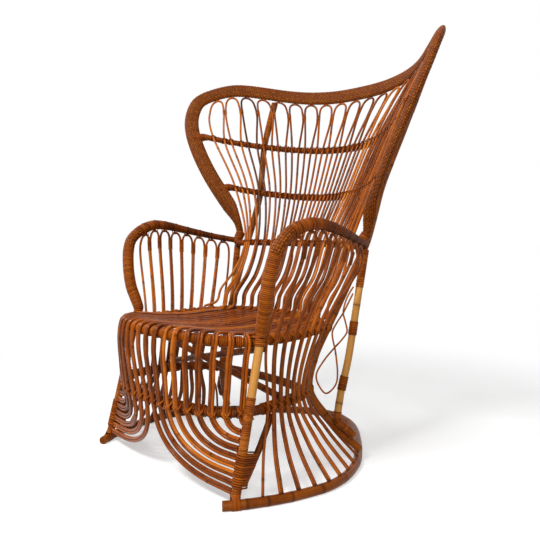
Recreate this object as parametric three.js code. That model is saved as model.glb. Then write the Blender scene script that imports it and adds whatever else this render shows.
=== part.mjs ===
// A high-backed wing armchair of bent rattan poles and canes, with a wrapped frame.
// Millimetres, +Z up. The sitter faces -Y, and the chair is a mirror image about X = 0.
// Heights are above the floor. Depths are measured back from the line of the front legs
// at seat height, and the finished chair is then centred over the origin.
import * as THREE from 'three';

// Overall form
const EAR_HALF_WIDTH = 522; // centre line of the rim at its widest
const EAR_HEIGHT = 1169; // centre line of the rim at the top of the ears
const BACK_REACH = 709; // centre line of the rim at the middle of the top
const ARM_HALF_WIDTH = 362;
const ARM_HEIGHT = 654;
const ARM_LENGTH = 415;
const SEAT_HALF_WIDTH = 268;
const SEAT_HEIGHT = 367;
const SEAT_FRONT_BOW = 133; // how far the front of the seat ring stands before the legs
const SEAT_REACH = 369;
const WAIST_HALF_WIDTH = 271;
const WAIST_HEIGHT = 201;
const WAIST_FRONT_BOW = 113;
const WAIST_REACH = 273;
const HOOP_HALF_WIDTH = 378;
const HOOP_FRONT = 115; // how far the cut ends of the hoop stand before the legs
const HOOP_REACH = 583;

// Poles and canes
const HOOP_DIAMETER = 24;
const RING_DIAMETER = 25;
const LEG_DIAMETER = 22;
const BRACE_DIAMETER = 17;
const POST_DIAMETER = 23;
const REAR_LEG_DIAMETER = 21;
const RIM_WIDTH = 56; // in the plane of the back
const RIM_THICKNESS = 25;
const ARM_DIAMETER = 36;
const RAIL_DIAMETER = 20;
const STRETCHER_DIAMETER = 18;
const CANE_DIAMETER = 7;
const LOOP_CANE_DIAMETER = 5.4;
const SCROLL_DIAMETER = 5;
const GAP = 0.3; // between pieces that touch

// Counts
const BACK_HAIRPINS = 19;
const SIDE_HAIRPINS = 8;
const POLE_SIDES = 8;
const CANE_SIDES = 5;

// Back hairpins
const ARCH_PITCH = 65.8; // along the rim
const ARCH_DROP = 72; // from the top of an arch down to its tied neck
const FRONT_PITCH = 35.2; // between pairs of canes along the front of the seat ring
const WAIST_PITCH = 33.2; // between pairs along the waist ring
const ARM_PITCH = 27; // between pairs at the level of the arms
const SEAT_BACK_PITCH = 25.9; // between pairs at the back of the seat
const SEAT_DISH = 24; // how far the canes sag between the front and the back of the seat
const SKIRT_BULGE = 7;
const SWEEP_LOW = 35; // height of the lowest pair of canes on the front leg
const SWEEP_PITCH = 18.6; // between pairs up the front leg
const SWEEP_POWER = 2.6; // roundness of the sweep, 2 for an ellipse

// Side hairpins
const SIDE_ARCH_DROP = 42;
const SIDE_ARM_FIRST = 42; // depth of the first side cane under the arm
const SIDE_ARM_LAST = 369;
const SIDE_SEAT_FIRST = 26;
const SIDE_SEAT_LAST = 282;
const SIDE_WAIST_FIRST = 23;
const SIDE_WAIST_LAST = 222;
const SIDE_HOOP_FIRST = -34;
const SIDE_HOOP_LAST = 330;

// The back's three levels, measured on the canes: height and depth at the middle, how far the
// outermost cane stands inside the rim and behind it, how far it is above the middle one, and
// the slack between the canes and the rail behind them. The arms end at the lowest level.
const UPPER_LEVEL = { height: 919, reach: 620, inside: 61.9, behindRim: 47.6, rise: 57, railGap: 1.8 };
const MIDDLE_LEVEL = { height: 751, reach: 545, inside: 50.5, behindRim: 42.9, rise: 37, railGap: 0.9 };
const ARM_LEVEL = { height: 599, reach: 466, inside: 46.5, behindRim: -14.5, rise: 0, railGap: 0.6 };
const RIM_FOOT_RISE = 26; // from the lowest level up to the centre of the rim's ends

// Colours read as lacquered rattan
const WRAPPED = { color: 0xa35a24, roughness: 0.5 };
const BARE = { color: 0xc98a42, roughness: 0.4 };
const CANE = { color: 0xb0662a, roughness: 0.42 };
const DARK = { color: 0x6e3b1c, roughness: 0.5 };

const chair = new THREE.Group();
const vec = (x, y, z) => new THREE.Vector3(x, y, z);
const { lerp, smoothstep } = THREE.MathUtils;
const UP = vec(0, 0, 1);
const mirrored = (points) => points.map((p) => vec(-p.x, p.y, p.z));

// A curve whose parameter follows its points, so that rings fall on the points chosen.
class Route extends THREE.CatmullRomCurve3 {
  getUtoTmapping(u) {
    return u;
  }
}

function roundSection(diameter, sides) {
  const corners = [];
  for (let i = 0; i < sides; i += 1) {
    const angle = ((i + 0.5) / sides) * Math.PI * 2;
    corners.push(new THREE.Vector2(Math.cos(angle), Math.sin(angle)).multiplyScalar(diameter / 2));
  }
  return new THREE.Shape(corners);
}

function tube(points, diameter, sides, ringsPerSpan = 1) {
  return new THREE.ExtrudeGeometry(roundSection(diameter, sides), {
    steps: (points.length - 1) * ringsPerSpan,
    extrudePath: new Route(points),
    bevelEnabled: false,
  });
}

const ringCentres = (points, ringsPerSpan) => new Route(points)
  .getPoints((points.length - 1) * ringsPerSpan);

// Changes each corner's offset from the centre of its ring. The ring is the nearest one.
function reshape(geometry, centres, change) {
  const place = geometry.getAttribute('position');
  const corner = new THREE.Vector3();
  for (let i = 0; i < place.count; i += 1) {
    corner.fromBufferAttribute(place, i);
    let ring = 0;
    centres.forEach((centre, k) => {
      if (centre.distanceToSquared(corner) < centres[ring].distanceToSquared(corner)) ring = k;
    });
    corner.sub(centres[ring]);
    change(corner, ring);
    corner.add(centres[ring]);
    place.setXYZ(i, corner.x, corner.y, corner.z);
  }
  return geometry;
}

// Scales each ring of a tube about its own centre by the value of scaleAt at its place from 0 to 1.
function taper(geometry, points, ringsPerSpan, scaleAt) {
  const centres = ringCentres(points, ringsPerSpan);
  return reshape(geometry, centres, (offset, ring) => {
    offset.multiplyScalar(scaleAt(ring / (centres.length - 1)));
  });
}

function add(name, geometry, look) {
  const material = new THREE.MeshStandardMaterial({ ...look, metalness: 0 });
  const mesh = new THREE.Mesh(geometry, material);
  mesh.name = name;
  chair.add(mesh);
}

function addPair(name, makeGeometry, points, look) {
  add(`${name}_right`, makeGeometry(points), look);
  add(`${name}_left`, makeGeometry(mirrored(points)), look);
}

const scaled = (shares, x, y, z) => shares.map(([a, b, c]) => vec(a * x, b * y, c * z));
const between = (shares, x, y, low, high) => shares.map(
  ([a, b, c]) => vec(a * x, b * y, lerp(low, high, c)),
);

// A route divided finely, and the right half of a mirrored one from its middle outwards.
const FINE_COUNT = 24;
const divided = (points) => new Route(points).getPoints((points.length - 1) * FINE_COUNT);
function fromMiddle(points) {
  const places = divided(points);
  return places.slice(0, (places.length + 1) / 2).reverse();
}

// Distance along a divided route, for placing things by length.
class Ruler {
  constructor(places) {
    this.places = places;
    this.lengths = [0];
    for (let i = 1; i < places.length; i += 1) {
      this.lengths.push(this.lengths[i - 1] + places[i].distanceTo(places[i - 1]));
    }
    this.total = this.lengths[places.length - 1];
  }

  // The place as a number of divisions from the start.
  steps(length) {
    let i = 0;
    while (i < this.lengths.length - 2 && this.lengths[i + 1] < length) i += 1;
    return i + (length - this.lengths[i]) / (this.lengths[i + 1] - this.lengths[i]);
  }

  at(length) {
    const steps = this.steps(length);
    const i = THREE.MathUtils.clamp(Math.floor(steps), 0, this.places.length - 2);
    return this.places[i].clone().lerp(this.places[i + 1], steps - i);
  }

  share(length) {
    return this.steps(length) / (this.places.length - 1);
  }

  tangent(length) {
    const step = this.total / this.places.length;
    return this.at(length + step).sub(this.at(length - step)).normalize();
  }

  // The length at which a measure of the place first stops being negative.
  lengthWhere(measure) {
    const values = this.places.map(measure);
    const i = values.findIndex((value) => value >= 0);
    if (i < 0) return this.total;
    if (i === 0) return 0;
    const share = values[i - 1] / (values[i - 1] - values[i]);
    return lerp(this.lengths[i - 1], this.lengths[i], share);
  }

  nearest(point) {
    return Math.min(...this.places.map((p) => p.distanceTo(point)));
  }

  // The length at the division nearest to a place.
  lengthNear(point) {
    const gaps = this.places.map((p) => p.distanceToSquared(point));
    return this.lengths[gaps.indexOf(Math.min(...gaps))];
  }
}

// Base hoop: a U of one bent pole, open at the front. It lies on a flat worked along its underside.
const HOOP_SHARES = [
  [0.77, -0.197], [0.822, -0.145], [0.885, -0.058], [0.938, 0.032], [0.975, 0.129], [1, 0.242],
  [0.985, 0.339], [0.943, 0.427], [0.856, 0.54], [0.746, 0.637], [0.547, 0.782], [0.323, 0.919],
  [0.15, 0.979], [0, 1],
];
const hoopHeight = (HOOP_DIAMETER / 2) * Math.cos(Math.PI / POLE_SIDES);
const hoopTop = hoopHeight * 2;
const HOOP_END_SHARE = HOOP_SHARES[0][1];
const hoopHalf = HOOP_SHARES.map(([x, y]) => vec(
  x * HOOP_HALF_WIDTH,
  y < 0 ? (y / HOOP_END_SHARE) * -HOOP_FRONT : y * HOOP_REACH,
  hoopHeight,
));
const hoopPoints = [...hoopHalf, ...mirrored(hoopHalf.slice(0, -1)).reverse()];
const hoopRuler = new Ruler(divided(hoopPoints));

// Sets a pole's foot on the hoop: its square end, tilted as the pole leans, just clears the top.
function standOnHoop(foot, next, diameter) {
  const tilt = Math.hypot(next.x - foot.x, next.y - foot.y) / next.distanceTo(foot);
  return foot.clone().setZ(hoopTop + GAP + (tilt * diameter) / 2);
}
add('base_hoop', tube(hoopPoints, HOOP_DIAMETER, POLE_SIDES, 2), WRAPPED);

// Seat and waist rings: each a closed loop of one pole, butted at the back.
const SEAT_RING_SHARES = [
  [0, -1, 1.03], [0.33, -0.94, 1.028], [0.64, -0.76, 1.02], [0.87, -0.45, 1.01], [0.975, -0.1, 1],
  [1, 0.077, 1], [1.005, 0.25, 1], [0.985, 0.45, 1.005], [0.93, 0.63, 1.01], [0.84, 0.755, 1.013],
  [0.56, 0.906, 1.013], [0.28, 0.977, 1.013], [0, 1, 1.013],
];
const WAIST_RING_SHARES = [
  [0, -1, 0.975], [0.37, -0.99, 0.985], [0.6, -0.85, 0.99], [0.81, -0.63, 0.995],
  [0.95, -0.33, 1], [1, 0, 1], [0.995, 0.21, 1], [0.967, 0.41, 1], [0.91, 0.6, 0.99],
  [0.82, 0.77, 0.98], [0.64, 0.905, 0.96], [0.35, 0.985, 0.95], [0, 1, 0.95],
];
const ringHalf = (shares, half, bow, reach, height) => shares.map(([x, y, z]) => vec(
  x * half,
  y < 0 ? y * bow : y * reach,
  z * height,
));
const seatHalf = ringHalf(
  SEAT_RING_SHARES, SEAT_HALF_WIDTH, SEAT_FRONT_BOW, SEAT_REACH, SEAT_HEIGHT,
);
const waistHalf = ringHalf(
  WAIST_RING_SHARES, WAIST_HALF_WIDTH, WAIST_FRONT_BOW, WAIST_REACH, WAIST_HEIGHT,
);

function loop(half) {
  const start = half[half.length - 1].clone().setX(GAP / 2);
  const finish = start.clone().setX(-GAP / 2);
  const right = half.slice(1, -1).reverse();
  return [start, ...right, half[0], ...mirrored(right).reverse(), finish];
}
const seatLoop = loop(seatHalf);
const waistLoop = loop(waistHalf);
add('seat_ring', tube(seatLoop, RING_DIAMETER, POLE_SIDES, 2), BARE);
add('waist_ring', tube(waistLoop, RING_DIAMETER, POLE_SIDES, 2), DARK);
const seatRuler = new Ruler(fromMiddle(seatLoop));
const waistRuler = new Ruler(fromMiddle(waistLoop));
const ringPlace = (ruler, y) => ruler.lengthWhere((p) => p.y - y);
function outwardOf(ruler, length) {
  const along = ruler.tangent(length);
  return vec(along.y, -along.x, 0).normalize();
}
const beside = (ruler, length, distance) => ruler.at(length)
  .addScaledVector(outwardOf(ruler, length), distance);

// Front legs: from the hoop up past both rings, outside them, to the arms.
const LEG_FOOT_SHARES = [0.8, 0.74]; // of the hoop's half width and of its front reach
const legTouch = (RING_DIAMETER + LEG_DIAMETER) / 2 + GAP;
const legAtSeat = vec(seatHalf[5].x + legTouch, 0, SEAT_HEIGHT);
const legFoot = standOnHoop(
  vec(LEG_FOOT_SHARES[0] * HOOP_HALF_WIDTH, -LEG_FOOT_SHARES[1] * HOOP_FRONT, hoopTop),
  legAtSeat,
  LEG_DIAMETER,
);
const legTop = legAtSeat.clone().add(vec(0, 0, LEG_DIAMETER / 2));
const legMiddle = legFoot.clone().lerp(legTop, 0.5);
const legWay = legTop.clone().sub(legFoot).normalize();
const legPoints = [legFoot, legMiddle, legTop];
addPair('front_leg', (points) => tube(points, LEG_DIAMETER, POLE_SIDES, 2), legPoints, BARE);
const legAt = (z) => legFoot.clone().lerp(legTop, (z - legFoot.z) / (legTop.z - legFoot.z));

// Arms: each a thick wrapped pole that rises from the leg, bends over and runs back.
const ARM_SHARES = [
  [0.875, -0.015, 0.701], [0.925, -0.018, 0.82], [0.966, 0.025, 0.923], [0.974, 0.135, 0.978],
  [1, 0.275, 1],
];
const ARM_FALL_SHARES = [[0.98, 0.5, 0.727], [0.893, 0.741, 0.31], [0.79, 0.965, 0]];
const armPoints = [
  legTop.clone().addScaledVector(legWay, GAP),
  legTop.clone().addScaledVector(legWay, ARM_DIAMETER / 2),
  ...scaled(ARM_SHARES, ARM_HALF_WIDTH, ARM_LENGTH, ARM_HEIGHT),
  ...between(ARM_FALL_SHARES, ARM_HALF_WIDTH, ARM_LENGTH, ARM_LEVEL.height, ARM_HEIGHT),
];
const ARM_FOOT_SHARE = 0.74;
const ARM_END_SHARE = 0.55;
const ARM_FULL_FROM_SHARE = 0.2;
const ARM_FULL_TO_SHARE = 0.5;
const armScale = (t) => {
  if (t < ARM_FULL_FROM_SHARE) return lerp(ARM_FOOT_SHARE, 1, smoothstep(t, 0, ARM_FULL_FROM_SHARE));
  return lerp(1, ARM_END_SHARE, smoothstep(t, ARM_FULL_TO_SHARE, 1));
};
const armTube = (points) => taper(
  tube(points, ARM_DIAMETER, POLE_SIDES, 2), points, 2, armScale,
);
addPair('arm_rail', armTube, armPoints, WRAPPED);
const armRuler = new Ruler(divided(armPoints));

// Back rim: one wrapped pole from the end of one arm, round both ears, to the other.
const RIM_SHARES = [
  [0.545, 0.572, 0], [0.565, 0.566, 0.0715], [0.612, 0.545, 0.1707], [0.693, 0.521, 0.285],
  [0.773, 0.501, 0.3993], [0.899, 0.488, 0.5933], [0.982, 0.501, 0.7637], [1, 0.554, 0.906],
  [0.948, 0.63, 0.967], [0.854, 0.721, 1], [0.726, 0.81, 0.9837], [0.588, 0.8905, 0.9535],
  [0.427, 0.9515, 0.9255], [0.226, 0.988, 0.906], [0, 1, 0.9017],
];
const rimFootHeight = ARM_LEVEL.height + RIM_FOOT_RISE;
const rimHalf = between(RIM_SHARES, EAR_HALF_WIDTH, BACK_REACH, rimFootHeight, EAR_HEIGHT);
const rimPoints = [...rimHalf, ...mirrored(rimHalf.slice(0, -1)).reverse()];
const rimRuler = new Ruler(divided(rimPoints));
const rimFromTop = new Ruler(fromMiddle(rimPoints));

// The rim's frame at a length from the middle of the top: place, direction, and the way down
// to a target.
function rimFrame(length, target) {
  const place = rimFromTop.at(length);
  const along = rimFromTop.tangent(length);
  const down = target.clone().sub(place);
  down.addScaledVector(along, -down.dot(along)).normalize();
  return { place, along, down };
}

// The back's surface at one of its levels, and the rails that lie behind the canes there. Its
// half width, and how far its outermost cane comes forward, follow from where the rim passes.
function levelInside(level) {
  const edge = rimRuler.at(rimRuler.lengthWhere((p) => p.z - level.height - level.rise));
  const half = edge.x - level.inside;
  return { ...level, half, sweep: level.reach - edge.y - level.behindRim };
}
const upperLevel = levelInside(UPPER_LEVEL);
const middleLevel = levelInside(MIDDLE_LEVEL);
const armLevel = levelInside(ARM_LEVEL);
function levelPoint(level, x) {
  const share = (x / level.half) ** 2;
  return vec(x, level.reach - level.sweep * share, level.height + level.rise * share);
}

// The rim is an oval pole, wide in the plane of the back and thin across it. This is where the
// back's outer canes pass beside a place on its right half, and gives that plane.
const CANES_EACH = 2; // the two strands of a hairpin
const EVEN_SPACES = BACK_HAIRPINS - 0.5; // from the middle to the outermost cane
const levelEdges = [upperLevel, middleLevel, armLevel].map((level) => levelPoint(level, level.half));
function besideRim(length, place) {
  const across = (length * CANES_EACH) / (ARCH_PITCH * EVEN_SPACES);
  const [upper, middle, arm] = levelEdges;
  if (across < 1 || place.z > upper.z) return levelPoint(upperLevel, Math.min(across, 1) * upper.x);
  const [low, high] = place.z > middle.z ? [middle, upper] : [arm, middle];
  return low.clone().lerp(high, (place.z - low.z) / (high.z - low.z));
}
function acrossRim(centre) {
  const place = centre.clone().setX(Math.abs(centre.x));
  const length = rimFromTop.lengthNear(place);
  const { down } = rimFrame(length, besideRim(length, place));
  return down.setX(centre.x < 0 ? -down.x : down.x);
}
const RIM_FOOT_SHARE = 0.42; // of its width, left at its ends
const RIM_FULL_SHARE = 0.08; // of its length, where it is full
function rimTube(points) {
  const centres = ringCentres(points, 2);
  const ways = centres.map(acrossRim);
  return reshape(tube(points, RIM_WIDTH, POLE_SIDES, 2), centres, (offset, ring) => {
    const share = ring / (centres.length - 1);
    const fromEnd = smoothstep(Math.min(share, 1 - share), 0, RIM_FULL_SHARE);
    const wide = offset.dot(ways[ring]);
    offset.addScaledVector(ways[ring], -wide).multiplyScalar(RIM_THICKNESS / RIM_WIDTH);
    offset.addScaledVector(ways[ring], wide * lerp(RIM_FOOT_SHARE, 1, fromEnd));
  });
}
add('back_rim', rimTube(rimPoints), WRAPPED);
const BACK_SLOPE_SHARE = 0.45; // how far the back leans for each unit of height
const backNormal = (level, x) => vec(
  (2 * level.sweep * x) / level.half ** 2, 1, -BACK_SLOPE_SHARE,
).normalize();
const behind = (level, x, distance) => levelPoint(level, x)
  .addScaledVector(backNormal(level, x), distance);
const railDepth = (level) => (RAIL_DIAMETER + CANE_DIAMETER) / 2 + level.railGap;
const RAIL_SPAN_COUNT = 16;
const RAIL_TRY_COUNT = 160;

// A rail ends where it first comes to what it is tied to, or else where it comes nearest to it.
function railReach(level, room) {
  let reach = 0;
  let least = Infinity;
  for (let i = 1; i <= RAIL_TRY_COUNT; i += 1) {
    const x = (i / RAIL_TRY_COUNT) * EAR_HALF_WIDTH;
    const left = room(behind(level, x, railDepth(level)));
    if (left < 0) return reach;
    if (left < least) {
      least = left;
      reach = x;
    }
  }
  return reach;
}
function railPoints(level, room) {
  const reach = railReach(level, room);
  const points = [];
  for (let i = 0; i <= RAIL_SPAN_COUNT; i += 1) {
    const x = lerp(reach, -reach, i / RAIL_SPAN_COUNT);
    points.push(behind(level, x, railDepth(level)));
  }
  return points;
}
const rimRoom = (p) => rimRuler.nearest(p) - (RIM_WIDTH + RAIL_DIAMETER / 2) / 2 - GAP;
const armEndRadius = (ARM_DIAMETER * ARM_END_SHARE) / 2;
const armRoom = (p) => armRuler.nearest(p) - armEndRadius - RAIL_DIAMETER / 2;
const rail = (level, room) => tube(railPoints(level, room), RAIL_DIAMETER, POLE_SIDES);
add('upper_cross_rail', rail(upperLevel, rimRoom), WRAPPED);
add('middle_cross_rail', rail(middleLevel, rimRoom), WRAPPED);
add('arm_level_cross_rail', rail(armLevel, (p) => Math.min(rimRoom(p), armRoom(p))), WRAPPED);

// Rear posts: from the hoop in to the waist ring, past the seat ring and up behind the back.
const postTouch = (RING_DIAMETER + POST_DIAMETER) / 2 + GAP;
const POST_FOOT_SHARES = [0.79, 0.613];
const POST_AT_WAIST_SHARE = 0.88; // of the ring's reach
const POST_AT_SEAT_SHARE = 0.8;
const POST_AT_ARM_SHARES = [0.735, 1.025]; // of the arm's half width and length
const POST_AT_RAIL_SHARES = [0.8, 0.69]; // of the half widths of the middle and upper levels
const POST_TOP_SHARE = 0.63; // of the rim's half width
const postAtWaist = beside(
  waistRuler, ringPlace(waistRuler, POST_AT_WAIST_SHARE * WAIST_REACH), postTouch,
);
const postFoot = standOnHoop(
  vec(POST_FOOT_SHARES[0] * HOOP_HALF_WIDTH, POST_FOOT_SHARES[1] * HOOP_REACH, hoopTop),
  postAtWaist,
  POST_DIAMETER,
);
const behindRail = (level) => railDepth(level) + (RAIL_DIAMETER + POST_DIAMETER) / 2 + GAP;
const postAtUpper = behind(
  upperLevel, POST_AT_RAIL_SHARES[1] * upperLevel.half, behindRail(upperLevel),
);
const postFrame = rimFrame(
  rimFromTop.lengthWhere((p) => p.x - POST_TOP_SHARE * EAR_HALF_WIDTH),
  postAtUpper,
);
const postBehindArches = (CANE_DIAMETER + POST_DIAMETER) / 2 + GAP * 3;
const postTop = postFrame.place.clone()
  .addScaledVector(postFrame.down, RIM_WIDTH / 2 + GAP * 3)
  .addScaledVector(postFrame.along.clone().cross(postFrame.down), postBehindArches);
const postPoints = [
  postFoot,
  postAtWaist,
  beside(seatRuler, ringPlace(seatRuler, POST_AT_SEAT_SHARE * SEAT_REACH), postTouch),
  vec(POST_AT_ARM_SHARES[0] * ARM_HALF_WIDTH, POST_AT_ARM_SHARES[1] * ARM_LENGTH, armLevel.height),
  behind(middleLevel, POST_AT_RAIL_SHARES[0] * middleLevel.half, behindRail(middleLevel)),
  postAtUpper,
  postTop,
];
addPair('rear_post', (points) => tube(points, POST_DIAMETER, POLE_SIDES, 2), postPoints, BARE);
const postRuler = new Ruler(divided(postPoints));
const lengthAtHeight = (ruler, z) => ruler.lengthWhere((p) => p.z - z);

// Rear legs: from under the arm's end down to the side of the post, where they are bound to it.
const armEnd = armPoints[armPoints.length - 1];
const REAR_LEG_BOUND_SHARES = [0.3, 0.42, 0.5]; // of the waist's height
const REAR_LEG_BACKWARD_SHARE = 0.22; // how far behind the post it is bound, for each unit beside it
const REAR_LEG_KNEE_SHARES = [0.748, 0.822, 0.75]; // of the arm's width and length, seat's height
const legToPost = (REAR_LEG_DIAMETER + POST_DIAMETER) / 2 + GAP * 3;
function besidePost(z) {
  const length = lengthAtHeight(postRuler, z);
  const along = postRuler.tangent(length);
  const side = vec(1, REAR_LEG_BACKWARD_SHARE, 0);
  side.addScaledVector(along, -side.dot(along)).normalize();
  return postRuler.at(length).addScaledVector(side, legToPost);
}
const rearLegPoints = [
  ...REAR_LEG_BOUND_SHARES.map((share) => besidePost(share * WAIST_HEIGHT)),
  vec(
    REAR_LEG_KNEE_SHARES[0] * ARM_HALF_WIDTH,
    REAR_LEG_KNEE_SHARES[1] * ARM_LENGTH,
    REAR_LEG_KNEE_SHARES[2] * SEAT_HEIGHT,
  ),
  armEnd.clone().add(vec(GAP * 5, -REAR_LEG_DIAMETER / 4, -armEndRadius - CANE_DIAMETER)),
];
addPair('rear_leg', (points) => tube(points, REAR_LEG_DIAMETER, POLE_SIDES, 2), rearLegPoints, BARE);
const rearLegRuler = new Ruler(divided(rearLegPoints));

// Foot braces: from beside each front leg up to the underside of the waist ring.
const BRACE_FOOT_SHARE = 0.25; // of the waist's height
const BRACE_TOP_SHARE = 0.2; // of the waist ring's reach
const braceFoot = legAt(BRACE_FOOT_SHARE * WAIST_HEIGHT);
braceFoot.y += (LEG_DIAMETER + BRACE_DIAMETER) / 2 - GAP * 3;
const braceTop = waistRuler.at(ringPlace(waistRuler, BRACE_TOP_SHARE * WAIST_REACH));
braceTop.z -= (RING_DIAMETER + BRACE_DIAMETER) / 2;
const braceMiddle = braceFoot.clone().lerp(braceTop, 0.5);
braceMiddle.x += BRACE_DIAMETER / 4;
addPair(
  'foot_brace',
  (points) => tube(points, BRACE_DIAMETER, POLE_SIDES, 2),
  [braceFoot, braceMiddle, braceTop],
  DARK,
);

// Two stretchers that cross under the seat, from the seat ring down to the waist ring.
const STRETCHER_HIGH_SHARE = 0.05; // of the rings' reach
const STRETCHER_LOW_SHARE = 0.34;
const STRETCHER_APART = 12; // each stretcher's shift from the middle, so that they pass
const ringToStretcher = (RING_DIAMETER + STRETCHER_DIAMETER) / 2 - GAP * 4;
function stretcherPoints(shift) {
  const high = seatRuler.at(ringPlace(seatRuler, STRETCHER_HIGH_SHARE * SEAT_REACH));
  const low = waistRuler.at(ringPlace(waistRuler, STRETCHER_LOW_SHARE * WAIST_REACH));
  high.add(vec(0, shift, -ringToStretcher)).setX(-high.x);
  low.add(vec(0, shift, ringToStretcher));
  return [high, high.clone().lerp(low, 0.5), low];
}
const stretcher = (points) => tube(points, STRETCHER_DIAMETER, POLE_SIDES, 1);
add('front_stretcher', stretcher(stretcherPoints(-STRETCHER_APART)), BARE);
add('back_stretcher', stretcher(mirrored(stretcherPoints(STRETCHER_APART))), BARE);

// Back hairpins: each one long cane, from a front leg up the skirt, over the front of the seat,
// back along it, up the back, round an arch under the rim and the same way down again.
// Below each arch a cane lies beside one of the next hairpin's, and such a pair runs together.
// A station of a pair is its middle, the direction away from the sitter, and half the spread.
const PAIRS = (BACK_HAIRPINS - 1) / 2;
const caneSpread = CANE_DIAMETER / 2 + GAP;
const rimTouch = (RIM_WIDTH + CANE_DIAMETER) / 2 + GAP;
const ringTouch = (RING_DIAMETER + CANE_DIAMETER) / 2 + GAP * 2;
const ROLL_COUNT = 2;
const rollRadius = ringTouch / Math.cos(Math.PI / (4 * ROLL_COUNT));

// Under the rim, places are told by a row: 0 at the middle of the top, and one for each arch.
const upperX = (row) => ((row * CANES_EACH) / EVEN_SPACES) * upperLevel.half;
function rimEdge(row) {
  const frame = rimFrame(row * ARCH_PITCH, levelPoint(upperLevel, upperX(row)));
  return frame.place.addScaledVector(frame.down, rimTouch);
}
function neckPlace(row) {
  const place = rimFromTop.at(row * ARCH_PITCH);
  const down = levelPoint(upperLevel, upperX(row)).sub(place).normalize();
  return place.addScaledVector(down, rimTouch + ARCH_DROP);
}
const station = (place, away, spread = caneSpread) => ({ place, away, spread });
const levelStation = (level, x, spread) => station(levelPoint(level, x), backNormal(level, x), spread);

function backStations(pair) {
  const evenly = (level) => levelStation(
    level, ((2 * pair - 1) / EVEN_SPACES) * level.half, level.half / (2 * EVEN_SPACES),
  );
  const upper = evenly(upperLevel);
  const armX = pair > PAIRS ? armLevel.half + caneSpread : (pair - 0.5) * ARM_PITCH;
  return [
    station(neckPlace(pair - 0.5), upper.away),
    upper,
    evenly(middleLevel),
    levelStation(armLevel, armX),
  ];
}

// Between the arms' level and the seat, as shares of the depth and of the height.
const RISE_SHARES = [[0.6, 0.5], [0.12, 0.2]];
const riseStations = (top, bottom) => RISE_SHARES.map(([back, up]) => station(
  vec(
    lerp(bottom.place.x, top.place.x, up),
    lerp(bottom.place.y, top.place.y, back),
    lerp(bottom.place.z, top.place.z, up),
  ),
  top.away,
));

// The bend over the back of the seat ring, just above and before it.
const BEND_AWAY = vec(0, 1, -1).normalize();
function bendStation(x) {
  const length = seatRuler.lengthWhere((p) => (p.y > SEAT_REACH / 2 ? x - p.x : -1));
  const bent = outwardOf(seatRuler, length).sub(UP).normalize();
  return station(seatRuler.at(length).addScaledVector(bent, -ringTouch - GAP * 2), BEND_AWAY);
}

const DISH_COUNT = 3;
const FLATTER_SHARE = 0.5; // how much flatter the seat is at its sides
function seatStations(back, front, pair) {
  const dish = SEAT_DISH * (1 - FLATTER_SHARE * (pair / PAIRS) ** 2);
  const stations = [];
  for (let i = 1; i <= DISH_COUNT; i += 1) {
    const share = i / (DISH_COUNT + 1);
    const place = back.place.clone().lerp(front.place, share);
    place.z -= dish * Math.sin(Math.PI * share);
    stations.push(station(place, UP.clone().negate()));
  }
  return stations;
}

const SKIRT_SHARES = [[0.22, 1], [0.62, 0.7]]; // of the way down the skirt, and of its bulge
function skirtStations(pair) {
  const length = (pair - 0.5) * FRONT_PITCH;
  const outward = outwardOf(seatRuler, length);
  const stations = [];
  for (let i = 0; i <= ROLL_COUNT; i += 1) {
    const turn = (Math.PI / 2) * (1 - i / ROLL_COUNT);
    const radial = outward.clone().multiplyScalar(Math.cos(turn)).addScaledVector(UP, Math.sin(turn));
    const place = seatRuler.at(length).addScaledVector(radial, rollRadius);
    stations.push(station(place, radial.negate()));
  }
  const waistLength = (pair - 0.5) * WAIST_PITCH;
  const waistPlace = beside(waistRuler, waistLength, ringTouch);
  const edge = stations[ROLL_COUNT].place;
  SKIRT_SHARES.forEach(([down, bulge]) => {
    const place = edge.clone().lerp(waistPlace, down).addScaledVector(outward, SKIRT_BULGE * bulge);
    place.x = lerp(edge.x, waistPlace.x, down * down);
    stations.push(station(place, outward.clone().negate()));
  });
  stations.push(station(waistPlace, outwardOf(waistRuler, waistLength).negate()));
  return stations;
}

const SWEEP_COUNT = 5;
function sweepStations(waist, pair) {
  const end = legAt(SWEEP_LOW + (pair - 1) * SWEEP_PITCH);
  const arrival = end.clone().sub(waist.place).setZ(0).normalize();
  end.addScaledVector(arrival, -LEG_DIAMETER / 2 - CANE_DIAMETER / 4);
  const stations = [];
  for (let i = 1; i <= SWEEP_COUNT; i += 1) {
    const turn = (Math.PI / 2) * (i / SWEEP_COUNT);
    const out = 1 - Math.max(Math.cos(turn), 0) ** (2 / SWEEP_POWER);
    const down = Math.sin(turn) ** (2 / SWEEP_POWER);
    const place = vec(
      lerp(waist.place.x, end.x, out),
      lerp(waist.place.y, end.y, (out + down) / 2),
      lerp(waist.place.z, end.z, down),
    );
    stations.push(station(place, waist.away));
  }
  return stations;
}

const END_ON_RING_SHARE = 0.61;
function pairStations(pair) {
  const back = backStations(pair);
  const atArm = back[back.length - 1];
  if (pair > PAIRS) {
    const end = seatRuler.at(ringPlace(seatRuler, END_ON_RING_SHARE * SEAT_REACH));
    end.z += ringTouch + GAP;
    const before = end.clone().add(vec(0, RING_DIAMETER * 2, RING_DIAMETER / 2));
    const last = [station(before, BEND_AWAY), station(end, BEND_AWAY)];
    return [...back, ...riseStations(atArm, last[0]), ...last];
  }
  const bend = bendStation((pair - 0.5) * SEAT_BACK_PITCH);
  const skirt = skirtStations(pair);
  return [
    ...back,
    ...riseStations(atArm, bend),
    bend,
    ...seatStations(bend, skirt[0], pair),
    ...skirt,
    ...sweepStations(skirt[skirt.length - 1], pair),
  ];
}

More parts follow.
